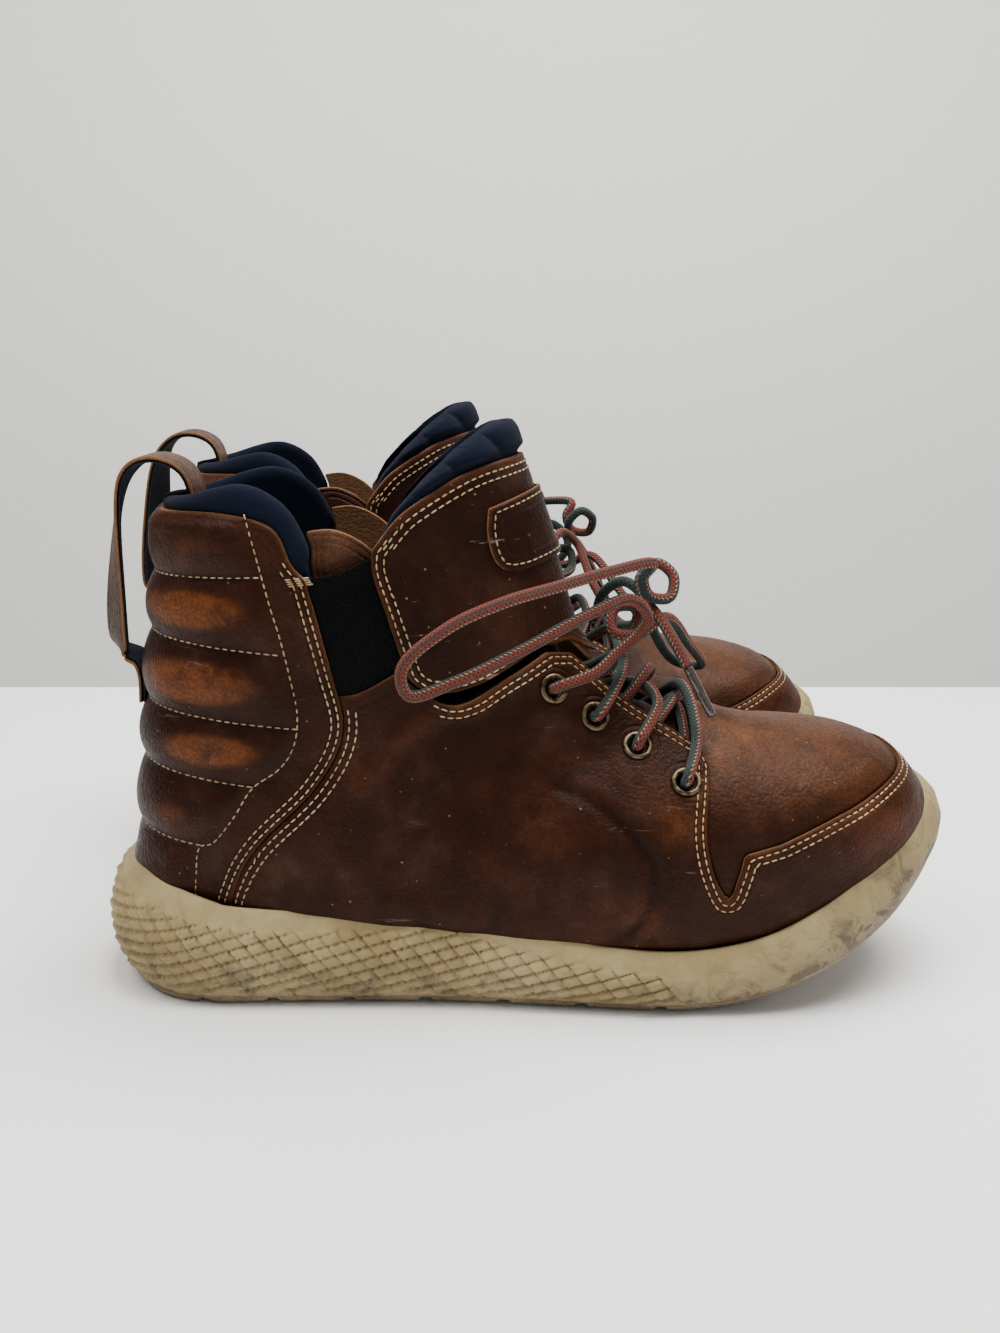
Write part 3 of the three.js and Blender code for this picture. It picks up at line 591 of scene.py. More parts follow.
SOLE_LATTICE = lattice_tree()
WALL_STEP = 0.62
WALL_RINGS = 46
SMOOTH_BORDER = 6.5
LATTICE_END = 214
FOREPART_START = 205
stations = sole_edge(sole_stations(WALL_STEP))
lip = 3.4 + 8.6 * stations["heel"] ** 0.7 + 5.4 * stations["toe"]
tread_inset = 2.6 + 2 * stations["heel"]
sole_bottom = stations["ground"] + TREAD_THICKNESS - 0.2
sole_height = stations["top"] - sole_bottom
inset_at = np.array([0, 0.25, 0.5, 0.8, 0.93, 1.0])
rings, shares = [], []
for share in np.linspace(0, 1, WALL_RINGS):
    stops = np.stack([tread_inset, np.full_like(lip, 0.4), np.zeros_like(lip), 0.30 * lip, 0.62 * lip, lip])
    inset = np.array([np.interp(share, inset_at, column) for column in stops.T])
    rings.append(sole_ring(stations, inset, sole_bottom + sole_height * share))
    shares.append(share)
for extra, drop in ((1.0, 0.1), (2.4, 0.5), (3.2, 2.0), (3.4, 4.0)):
    rings.append(sole_ring(stations, lip + extra, stations["top"] - drop))
    shares.append(1.0)
floor_line = np.interp(stations["x"], *np.array(FLOOR_PLACES).T)
rings.append(sole_ring(stations, lip + 3.6, np.minimum(floor_line - 1.6, stations["top"] - 5)))
shares.append(1.0)
around = len(rings[0])
sole_points = np.vstack(rings)
grid = sole_points.reshape(len(rings), around, 3)
run_round = np.concatenate([[0], np.cumsum(np.linalg.norm(np.diff(grid[20], axis=0), axis=1))])
outward = np.cross(np.roll(grid, -1, 1) - np.roll(grid, 1, 1), np.gradient(grid, axis=0))
outward /= np.maximum(np.linalg.norm(outward, axis=2, keepdims=True), 1e-9)
lattice_up = np.zeros(grid.shape[:2])
lattice_up[1:] = np.cumsum(np.linalg.norm(np.diff(grid, axis=0), axis=2), axis=0)
share_grid = np.repeat(np.array(shares)[:, None], around, axis=1)
# the lattice fills the heel and the waist below a smooth border, and ends on a slant
side_run = np.minimum(run_round, run_round[-1] - run_round)
below_lip = (1 - share_grid) * np.concatenate([sole_height, sole_height[-2:0:-1]])[None]
slant_end = LATTICE_END - 0.9 * (grid[:, :, 2] - 5)
latticed = np.clip((below_lip - SMOOTH_BORDER) / 1.2, 0, 1) * np.clip((slant_end - grid[:, :, 0]) / 2.0, 0, 1)
latticed *= np.clip((share_grid - 0.03) / 0.04, 0, 1) * (np.array(shares)[:, None] < 0.999)
# the 'low' value darkens the foam low down and more towards the smooth forepart, as patchy grime and as painted shade
forepart = np.clip((grid[:, :, 0] - FOREPART_START) / 70, 0, 1)
mesh_values = {"run": np.repeat(side_run[None], len(rings), 0), "up": lattice_up, "latticed": latticed,
               "low": np.clip(1 - share_grid * 1.6, 0, 1) + 1.1 * forepart * np.clip(1.15 - 0.6 * share_grid, 0, 1)}
for side in SIDES:
    base = new_piece(f"{side}_midsole_base", sole_points, ring_faces(len(rings), around), side, "cream_foam", FOAM,
                     **{key: value.ravel() for key, value in mesh_values.items()})
    layer = base.data.attributes.new("outward", "FLOAT_VECTOR", "POINT")
    turned = (SIDES[side](sole_points + outward.reshape(-1, 3)) - SIDES[side](sole_points)) / MM
    layer.data.foreach_set("vector", turned.astype(np.float32).ravel())
    mesh = base.data
    bpy.data.objects.remove(base)
    midsole = grown_by(SOLE_LATTICE, f"{side}_midsole_foam", mesh, Material=FOAM)
    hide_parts(f"{side}_midsole")
    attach(midsole, f"{side}_boot")


def rubber_material():
    material, n, shader = new_material("tread_rubber", 0.7)
    place = n.place()
    broad, fine = wall_noise(n, place)
    colour = n.mix(n.step(broad, 0.35, 0.7), (0.12, 0.085, 0.045), (0.24, 0.18, 0.10))
    colour = n.mix(n.math("MULTIPLY", n.step(fine, 0.5, 0.7), 0.5), colour, (0.11, 0.085, 0.06))
    cell = n.add("ShaderNodeTexVoronoi", feature="DISTANCE_TO_EDGE")
    n.feed(cell.inputs["Vector"], place)
    cell.inputs["Scale"].default_value = 180.0
    cell.inputs["Randomness"].default_value = 0.25
    n.feed(shader.inputs["Base Color"], colour)
    n.feed(shader.inputs["Roughness"], n.step(fine, 0.2, 0.8, 0.6, 0.85))
    height = n.math("ADD", n.step(cell.outputs["Distance"], 0.02, 0.10), n.math("MULTIPLY", fine, 0.4))
    n.feed(shader.inputs["Normal"], n.bump(height, 0.6, 0.0008))
    return material


RUBBER = rubber_material()
TREAD_STEP = 0.8
GROOVE_DEPTH = 2.2
GROOVE_HALF_WIDTH = 3.1
stations = sole_edge(sole_stations(TREAD_STEP))
tread_inset = 2.6 + 2 * stations["heel"]
cut = np.zeros_like(stations["x"])
for groove in GROOVES:
    cut = np.maximum(cut, GROOVE_DEPTH * np.clip((GROOVE_HALF_WIDTH - np.abs(stations["x"] - groove)) / 1.2, 0, 1))
rings = []
for inset, level in ((3.4, 0.0), (2.5, 0.35), (1.5, 1.1), (0.8, 2.0), (0.2, 3.1), (0.0, 3.6), (0.3, 4.0)):
    lift = np.maximum(level, np.minimum(cut + 0.25 * level, 3.8))
    rings.append(sole_ring(stations, tread_inset + inset, stations["ground"] + lift))
for side in SIDES:
    tread = new_piece(f"{side}_outsole_tread", np.vstack(rings), ring_faces(len(rings), len(rings[0])), side,
                      "tread_rubber", RUBBER)
    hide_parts(f"{side}_outsole")
    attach(tread, f"{side}_boot")

# ---- linings inside the boots ------------------------------------------------------------------
# Navy textile over foam: a padded collar round the heel, a thin lining in the forepart and the
# lasting board and footbed under it. All of them follow the form of the foot, cut to outlines.
SECTIONS = np.array([
    # back x, back z, front x, front z, half width, widest at, front round, back round
    (31, 214, 142, 228, 35, 0.44, 2.0, 2.3), (29, 190, 150, 206, 36, 0.44, 2.0, 2.3),
    (27, 174, 156, 190, 37, 0.44, 2.0, 2.3), (24, 152, 163.5, 170, 38, 0.43, 2.0, 2.3),
    (21, 128, 169.5, 150, 38.5, 0.42, 2.0, 2.3), (18.5, 104, 176, 131, 38.5, 0.4, 2.0, 2.3),
    (15.5, 80, 186, 118, 39, 0.37, 2.0, 2.3), (13, 55, 199, 110, 41, 0.35, 2.0, 2.4),
    (19, 29, 213, 104, 43.5, 0.36, 2.0, 2.6), (60, 22, 226, 99, 46, 0.38, 2.1, 2.9),
    (110, 19, 238, 95.5, 48.5, 0.39, 2.2, 3.0), (160, 14.5, 249, 93.5, 50.5, 0.39, 2.3, 3.0),
    (203, 13, 260, 92, 51, 0.39, 2.4, 3.0), (238, 17, 271, 90, 49, 0.4, 2.5, 3.0),
    (266, 27, 283, 87, 44, 0.42, 2.5, 2.8), (288, 40, 295, 81.5, 35, 0.44, 2.4, 2.5),
    (301, 51, 303.5, 73, 22, 0.46, 2.2, 2.2), (307, 60, 307.5, 63, 4, 0.5, 2.0, 2.0)])
LAST_SECTION = len(SECTIONS) - 1


def grown_section(place, offset):
    rows = between_rows(SECTIONS, place)
    back, front = rows[..., 0:2], rows[..., 2:4]
    depth = np.linalg.norm(front - back, axis=-1)
    along = (front - back) / depth[..., None]
    grow = np.maximum(offset, 0.2 - depth / 2)[..., None]
    shift = offset * np.clip((place - LAST_SECTION + 1.5) / 1.5, 0, 1)
    lean = np.stack([shift, np.zeros_like(shift)], axis=-1)
    half = np.maximum(rows[..., 4] + offset, 0.4)
    return back - along * grow + lean, front + along * grow + lean, half, rows[..., 5], rows[..., 6], rows[..., 7]


def form_point(place, angle, offset=0.0):
    """Points of the foot form: angle 0 is the front, pi the back, negative the outer side."""
    place = np.asarray(place, float)
    offset = np.broadcast_to(np.asarray(offset, float), place.shape)
    back, front, half, widest, front_round, back_round = grown_section(place, offset)
    c, s = np.cos(angle), np.sin(angle)
    power = np.where(c >= 0, front_round, back_round)
    reach = (np.abs(c) ** power + np.abs(s) ** power) ** (-1 / power)
    dome = np.sqrt(np.clip(1 - (np.clip(place - LAST_SECTION + 0.4, 0, 0.4) / 0.4) ** 2, 0, 1))
    share = widest + reach * c * np.where(c >= 0, 1 - widest, widest) * dome
    spot = back + (front - back) * share[..., None]
    return np.stack([spot[..., 0], half * reach * s * dome + toe_bend(spot[..., 0]), spot[..., 1]], axis=-1)


def side_point(x, z, side, offset=0.0):
    """The form's surface at places of the side view, on the outer (-1) or the inner (1) side."""
    x, z = np.asarray(x, float), np.asarray(z, float)
    offset = np.broadcast_to(np.asarray(offset, float), x.shape)
    low, high = np.zeros_like(x), np.full_like(x, LAST_SECTION - 0.01)
    for _ in range(30):
        middle = (low + high) / 2
        back, front = grown_section(middle, offset)[:2]
        depth = front - back
        above = depth[..., 0] * (z - back[..., 1]) < depth[..., 1] * (x - back[..., 0])
        low, high = np.where(above, middle, low), np.where(above, high, middle)
    back, front, half, widest, front_round, back_round = grown_section(low, offset)
    depth = np.linalg.norm(front - back, axis=-1)
    share = np.clip(np.hypot(x - back[..., 0], z - back[..., 1]) / depth, 0, 1)
    ahead = share > widest
    reach = np.where(ahead, (share - widest) / (1 - widest), (widest - share) / widest)
    power = np.where(ahead, front_round, back_round)
    return np.stack([x, side * half * (1 - reach ** power) ** (1 / power) + toe_bend(x), z], axis=-1)


def curve_through(places, steps):
    """A smooth curve through places of the side view."""
    table = np.asarray(places, float)
    return between_rows(table, np.linspace(0, len(table) - 1, steps + 1))


def inside_outline(outline, x, z):
    result = np.zeros(x.shape, bool)
    for (x1, z1), (x2, z2) in zip(outline, np.roll(outline, -1, axis=0)):
        if z1 != z2:
            result ^= ((z1 > z) != (z2 > z)) & (x < (x2 - x1) * (z - z1) / (z2 - z1) + x1)
    return result


def line_distance(points, line):
    """How far points are from a line of short straight steps, in two or three dimensions."""
    best = np.full(len(points), 1e9)
    for a, b in zip(line[:-1], line[1:]):
        way = b - a
        size = way.dot(way)
        if size < 1e-12:
            continue
        share = np.clip((points - a) @ way / size, 0, 1)
        best = np.minimum(best, ((points - a - share[:, None] * way) ** 2).sum(1))
    return np.sqrt(best)


def rim_distance(points, outline, reach=16.0):
    """How far surface points lie inside an outline of the side view, measured along the surface."""
    x, z = points[:, 0], points[:, 2]
    sign = np.where(inside_outline(outline, x, z), 1.0, -1.0)
    closed = np.vstack([outline, outline[:1]])
    low, high = outline.min(0) - reach, outline.max(0) + reach
    about = np.flatnonzero((x > low[0]) & (x < high[0]) & (z > low[1]) & (z < high[1]))
    flat = np.full(len(points), 2 * reach)
    flat[about] = line_distance(points[about][:, [0, 2]], closed)
    result = np.maximum(flat, 0.01)
    near = np.flatnonzero(flat < reach)
    samples = even_steps(closed, 1.5)
    for side in (-1, 1):
        rim = side_point(samples[:, 0], samples[:, 1], side)
        mine = near[(points[near, 1] - toe_bend(points[near, 0])) * side >= 0]
        if len(mine):
            result[mine] = np.maximum(line_distance(points[mine], rim), flat[mine])
    return np.clip(result, 0, 60) * sign


ROWS_PER_SECTION = 15
COLUMNS = 232


def form_net():
    """An even net over the whole foot form: section places, angles and triangles."""
    places = np.linspace(0, LAST_SECTION, LAST_SECTION * ROWS_PER_SECTION + 1)
    dense = np.linspace(-math.pi, math.pi, 721)
    angles = []
    for place in places:
        ring = form_point(np.full(dense.shape, min(place, LAST_SECTION - 0.45)), dense)
        run = np.concatenate([[0], np.cumsum(np.linalg.norm(np.diff(ring, axis=0), axis=1))])
        angles.append(np.interp(np.arange(COLUMNS) / COLUMNS * run[-1], run, dense))
    params = np.stack([np.repeat(places, COLUMNS), np.concatenate(angles)], axis=1)
    r, c = np.meshgrid(np.arange(len(places) - 1), np.arange(COLUMNS), indexing="ij")
    a, b = (r * COLUMNS + c).ravel(), (r * COLUMNS + (c + 1) % COLUMNS).ravel()
    tip = (len(places) - 1) * COLUMNS

    def merged(index):
        return np.where(index >= tip, tip, index)

    d, e = merged(a + COLUMNS), merged(b + COLUMNS)
    triangles = np.concatenate([np.stack([a, b, e], 1), np.stack([a, e, d], 1)])
    whole = (triangles[:, 0] != triangles[:, 1]) & (triangles[:, 1] != triangles[:, 2])
    return params, triangles[whole & (triangles[:, 0] != triangles[:, 2])]


FORM_PARAMS, FORM_TRIANGLES = form_net()
FORM_POINTS = form_point(FORM_PARAMS[:, 0], FORM_PARAMS[:, 1])


def split_net(params, triangles, values, level, keep_outside):
    """Splits a net along a level of its values; returns the net, and the edges on the level."""
    v = values - level
    inner = v >= 0
    count = inner[triangles].sum(1)
    mixed = triangles[(count == 1) | (count == 2)]
    alone_in = inner[mixed].sum(1) == 1
    first = np.where(alone_in[:, None], inner[mixed], ~inner[mixed]).argmax(1)
    n = np.arange(len(mixed))
    a, b, c = mixed[n, first], mixed[n, (first + 1) % 3], mixed[n, (first + 2) % 3]
    ends = np.concatenate([np.stack([a, b], 1), np.stack([a, c], 1)])
    keys, where = np.unique(np.sort(ends, axis=1), axis=0, return_inverse=True)
    where = where.reshape(-1)
    i, j = keys[:, 0], keys[:, 1]
    share = np.clip(v[i] / (v[i] - v[j]), 0.02, 0.98)[:, None]
    step = params[j] - params[i]
    step[:, 1] = (step[:, 1] + math.pi) % (2 * math.pi) - math.pi
    fresh = params[i] + share * step
    fresh[:, 1] = (fresh[:, 1] + math.pi) % (2 * math.pi) - math.pi
    ab, ac = where[:len(n)] + len(params), where[len(n):] + len(params)
    corner = np.stack([a, ab, ac], 1)
    rest = np.concatenate([np.stack([ab, b, c], 1), np.stack([ab, c, ac], 1)])
    twice = np.concatenate([alone_in, alone_in])
    kept = [triangles[count == 3], corner[alone_in], rest[~twice]]
    if keep_outside:
        kept += [triangles[count == 0], corner[~alone_in], rest[twice]]
    return np.vstack([params, fresh]), np.concatenate(kept), np.stack([ab, ac], 1)


def used_only(params, triangles):
    used, where = np.unique(triangles, return_inverse=True)
    return params[used], where.reshape(-1, 3)


def above_floor(points):
    """How far points stand above the boot's floor line."""
    return points[:, 2] - np.interp(points[:, 0], FLOOR[:, 0], FLOOR[:, 1])


FLOOR = curve_through(FLOOR_PLACES, 60)


RIM_LEVELS = (0.4, 1.0, 1.7, 2.8, 4.1, 5.4)
PANEL_FLOOR = 2.5


def cut_panel(rim_of, levels):
    """The form's net inside a rim, cut off above the floor, with extra rows of points along the rim.

    Its columns are section place, angle and distance from the rim."""
    rim = rim_of(FORM_POINTS)
    lift = above_floor(FORM_POINTS)
    near = (rim[FORM_TRIANGLES].max(1) > -3) & (lift[FORM_TRIANGLES].max(1) > PANEL_FLOOR)
    params = np.column_stack([FORM_PARAMS, rim, lift - PANEL_FLOOR])
    triangles = FORM_TRIANGLES[near]
    for column, level in [(3, 0.0), (2, 0.0)] + [(2, level) for level in levels]:
        params, triangles = used_only(params, triangles)
        params, triangles, _ = split_net(params, triangles, params[:, column], level, keep_outside=level > 0)
    return used_only(params, triangles)


def panel_mesh(params, triangles, outer, inner):
    """A closed sheet between two offsets of the form, with a wall round its rim."""
    count = len(params)
    top = form_point(params[:, 0], params[:, 1], outer)
    low = form_point(params[:, 0], params[:, 1], inner)
    edges = np.concatenate([triangles[:, [0, 1]], triangles[:, [1, 2]], triangles[:, [2, 0]]])
    _, index, times = np.unique(np.sort(edges, axis=1), axis=0, return_index=True, return_counts=True)
    rim = edges[index[times == 1]]
    on_rim = np.unique(rim)
    place = np.full(count, -1)
    place[on_rim] = 2 * count + np.arange(len(on_rim))
    wall = top[on_rim] * 0.5 + low[on_rim] * 0.5
    points = np.vstack([top, low, wall])
    a, b = rim[:, 0], rim[:, 1]
    walls = np.concatenate([
        np.stack([b, a, place[a]], 1), np.stack([b, place[a], place[b]], 1),
        np.stack([place[b], place[a], a + count], 1), np.stack([place[b], a + count, b + count], 1)])
    faces = np.concatenate([triangles, triangles[:, ::-1] + count, walls])
    kind = np.concatenate([np.zeros(count), np.ones(count), np.full(len(on_rim), 0.5)])
    return points, faces, kind, on_rim


def smooth(value, low, high):
    share = np.clip((value - low) / (high - low), 0, 1)
    return share * share * (3 - 2 * share)


def rounded(rim, radius):
    """How far a rounded edge falls away, from 1 at the rim to 0 a radius inside it."""
    return 1 - np.sqrt(np.clip(1 - (1 - np.clip(rim / radius, 0, 1)) ** 2, 0, 1))


random_waves = np.random.default_rng(11)
WAVE_WAYS = random_waves.normal(size=(9, 3)) / np.array([26, 26, 26, 17, 17, 17, 11, 11, 11])[:, None]
WAVE_STARTS = random_waves.uniform(0, 2 * math.pi, 9)
WAVE_SIZES = np.array([0.30, 0.26, 0.22, 0.15, 0.14, 0.12, 0.06, 0.06, 0.05])


def unevenness(points):
    """Slow waves, in mm, that keep a skin from lying perfectly true."""
    return (np.sin(points @ WAVE_WAYS.T * 2 * math.pi / 3 + WAVE_STARTS) * WAVE_SIZES).sum(1)


def panel_pieces(node, rim_of, outer_of, inner_of, material, slot, body, levels=RIM_LEVELS, flat_map=False,
                 **values):
    """One panel of the upper for both boots. The offsets are functions of surface points and rim."""
    params, triangles = cut_panel(rim_of, levels)
    base = form_point(params[:, 0], params[:, 1])
    rim = params[:, 2]
    points, faces, kind, on_rim = panel_mesh(params, triangles, outer_of(base, rim), inner_of(base, rim))
    data = {"rim": np.concatenate([rim, rim, rim[on_rim]]), "raw": np.clip(kind * 2, 0, 1)}
    for key, of in values.items():
        number = of(base, rim)
        data[key] = np.concatenate([number, np.zeros(len(number) + len(on_rim))])
    uv = points[:, [0, 2]] if flat_map else None
    pieces = []
    for side in SIDES:
        piece = new_piece(f"{side}_{node}_skin", points, faces, side, slot, material, uv, **data)
        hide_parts(f"{side}_{node}")
        if body:
            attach(piece, f"{side}_{body}")
        pieces.append(piece)
    return pieces


def outline_of(*parts):
    return np.vstack([np.asarray(part, float).reshape(-1, 2) for part in parts])


HEEL_FRONT = curve_through([(50, 8), (51.5, 37.6), (61.5, 58.7), (83.3, 81), (93.3, 101), (89.8, 123),
                            (82.6, 153.8)], 72)
HEEL_TOP = curve_through([(82.6, 153.8), (77.8, 159), (71.5, 171), (53, 175.2), (28, 174.3)], 36)
HEEL = outline_of(HEEL_FRONT, HEEL_TOP[1:], (-20, 174), (-20, 8))
COLLAR_TOP = curve_through([(82.2, 158), (82.1, 165), (74.2, 177.6), (59, 184.1), (38, 179.5)], 40)
COLLAR = outline_of(HEEL_FRONT[:-1], COLLAR_TOP, (28, 177.5), (-20, 177.5), (-20, 8))
UNDER_GORE = curve_through([(91.8, 113.6), (99.7, 114.8), (112.7, 121.8)], 12)
NOTCH = curve_through([(112.7, 121.8), (117.4, 116.8), (131.8, 109.1), (150.4, 117.5), (164.3, 124.8)], 36)
LACE_EDGE = curve_through([(172.7, 123.4), (186.4, 110.2), (201.3, 100.2), (218.3, 91.4)], 36)
TAB_EDGE = curve_through([(220.6, 86.8), (217.8, 69.1), (219.9, 55.3), (225.5, 43.8), (228.9, 52), (231, 60)], 50)
APRON_EDGE = curve_through([(243.9, 63.3), (268.4, 72.9), (292.9, 80.7), (330, 83)], 40)
HEEL_JOIN = HEEL_FRONT[HEEL_FRONT[:, 1] < 112]
LINING_TOP = curve_through([(150.4, 106), (165, 99), (188, 82), (206, 70), (218, 82)], 24)
FOOT_LINING = outline_of(HEEL_JOIN, UNDER_GORE, NOTCH[1:26], LINING_TOP, (219, 100), (219, 125), (330, 125),
                         (330, -10), (50, -10))


KNIT_PITCH = 0.75


def mesh_textile(name, dark, light):
    """A fine open knit: rows of small round holes in a soft cloth."""
    material, n, shader = new_material(name, 0.9, Sheen_Weight=0.03, Specular_IOR_Level=0.06)
    place = n.place()
    bent = n.add("ShaderNodeVectorMath", operation="MULTIPLY_ADD")
    n.feed(bent.inputs[0], n.add("ShaderNodeTexNoise").outputs["Color"])
    n.feed(bent.inputs[1], (0.0006, 0.0006, 0.0006))
    n.feed(bent.inputs[2], place)
    x, y, z = n.parts(bent.outputs[0])
    turn = 2 * math.pi / (KNIT_PITCH * MM)
    across = n.math("MULTIPLY", n.math("ADD", x, n.math("MULTIPLY", y, 0.7)), turn)
    up = n.math("MULTIPLY", n.math("SUBTRACT", z, n.math("MULTIPLY", y, 0.4)), turn)
    knit = n.math("MULTIPLY", n.math("SINE", across), n.math("SINE", up))
    holes = n.step(knit, 0.25, 0.85)
    broad = n.noise(place, 60.0, 3.0)
    fuzz = n.noise(place, 3000.0, 2.0)
    colour = n.mix(broad, dark, light)
    colour = n.mix(n.math("MULTIPLY", fuzz, 0.35), colour, tuple(1.8 * c + 0.002 for c in light))
    colour = n.mix(n.math("MULTIPLY", holes, 0.75), colour, tuple(0.25 * c for c in dark))
    n.feed(shader.inputs["Base Color"], colour)
    n.feed(shader.inputs["Roughness"], n.step(fuzz, 0.2, 0.8, 0.82, 0.98))
    height = n.math("SUBTRACT", n.math("MULTIPLY", fuzz, 0.4), holes)
    n.feed(shader.inputs["Normal"], n.bump(height, 0.8, 0.0004))
    return material


NAVY = mesh_textile("navy_knit", (0.0017, 0.0029, 0.0078), (0.0052, 0.0085, 0.0205))


def collar_rim(points):
    return rim_distance(points, COLLAR)


def collar_outer(points, rim):
    proud = smooth(-rim_distance(points, HEEL), -1.5, 2.5)
    return -2.35 + 1.5 * proud - 3.0 * rounded(rim, 4.5)


def collar_inner(points, rim):
    return -8.0 + 0.4 * unevenness(points) + 2.4 * rounded(rim, 4.5)


for piece in panel_pieces("collar_lining", collar_rim, collar_outer, collar_inner, NAVY, "navy_textile", "boot"):
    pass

panel_pieces("foot_lining", lambda p: rim_distance(p, FOOT_LINING), lambda p, rim: -2.35 - 0.7 * rounded(rim, 1.0),
             lambda p, rim: -4.6 + 0.5 * rounded(rim, 1.0), NAVY, "navy_textile", "boot", levels=(1.0, 4.1))

FOOTBED_VOXEL = 0.0015
for side in SIDES:
    copy = bpy.data.objects[f"{side}_footbed"].data.copy()
    footbed = bpy.data.objects.new(f"{side}_footbed_pad", copy)
    bpy.context.collection.objects.link(footbed)
    bpy.context.view_layer.objects.active = footbed
    weld = footbed.modifiers.new("weld", "WELD")
    weld.merge_threshold = 0.00002
    remesh = footbed.modifiers.new("remesh", "REMESH")
    remesh.mode = "VOXEL"
    remesh.voxel_size = FOOTBED_VOXEL
    round_off = footbed.modifiers.new("round_off", "SMOOTH")
    round_off.factor = 0.5
    round_off.iterations = 6
    ready = bpy.data.meshes.new_from_object(footbed.evaluated_get(bpy.context.evaluated_depsgraph_get()))
    footbed.modifiers.clear()
    footbed.data = ready
    ready.shade_smooth()
    ready.materials.clear()
    ready.materials.append(NAVY)
    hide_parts(f"{side}_footbed")
    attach(footbed, f"{side}_footbed")

BOARD, board_nodes, board_shader = new_material("lasting_board", 0.9)
board_noise = board_nodes.noise(board_nodes.place(), 500.0, 5.0)
board_colour = board_nodes.mix(board_noise, (0.006, 0.008, 0.015), (0.014, 0.018, 0.030))
board_nodes.feed(board_shader.inputs["Base Color"], board_colour)
board_nodes.feed(board_shader.inputs["Normal"], board_nodes.bump(board_noise, 0.4, 0.0004))
for side in SIDES:
    board = bpy.data.objects[f"{side}_insole_board"]
    for place in board.material_slots:
        place.material = BOARD

# ---- vamp ------------------------------------------------------------------------------------------
# The plug over the toes: full-grain oiled leather that changes to a lighter, orange brown where it is
# stretched or rubbed, and carries a painted highlight along its top. It lies under the quarter
# wrap's edge and is sewn to it.
QUARTER = outline_of(HEEL_JOIN, UNDER_GORE, NOTCH[1:], LACE_EDGE, TAB_EDGE, APRON_EDGE, (330, -10), (50, -10))
VAMP = outline_of((219.4, 93), (217, 125), (330, 125), (330, 40), (215, 40))
FLEX_CREASES = [
    [(222, 99), (227, 88), (233, 78), (236, 70)], [(229, 100), (236, 90), (243, 81), (247, 73)],
    [(236, 99), (244, 91), (252, 83)], [(226, 93), (236, 94), (246, 92)],
]


def line_folds(points, lines, depth, width):
    """Soft valleys (or ridges, for a negative depth) along lines of the side view."""
    result = np.zeros(len(points))
    flat = points[:, [0, 2]]
    for line in lines:
        gap = line_distance(flat, curve_through(line, 8 * (len(line) - 1)))
        result -= depth * np.exp(-(gap / width) ** 2)
    return result


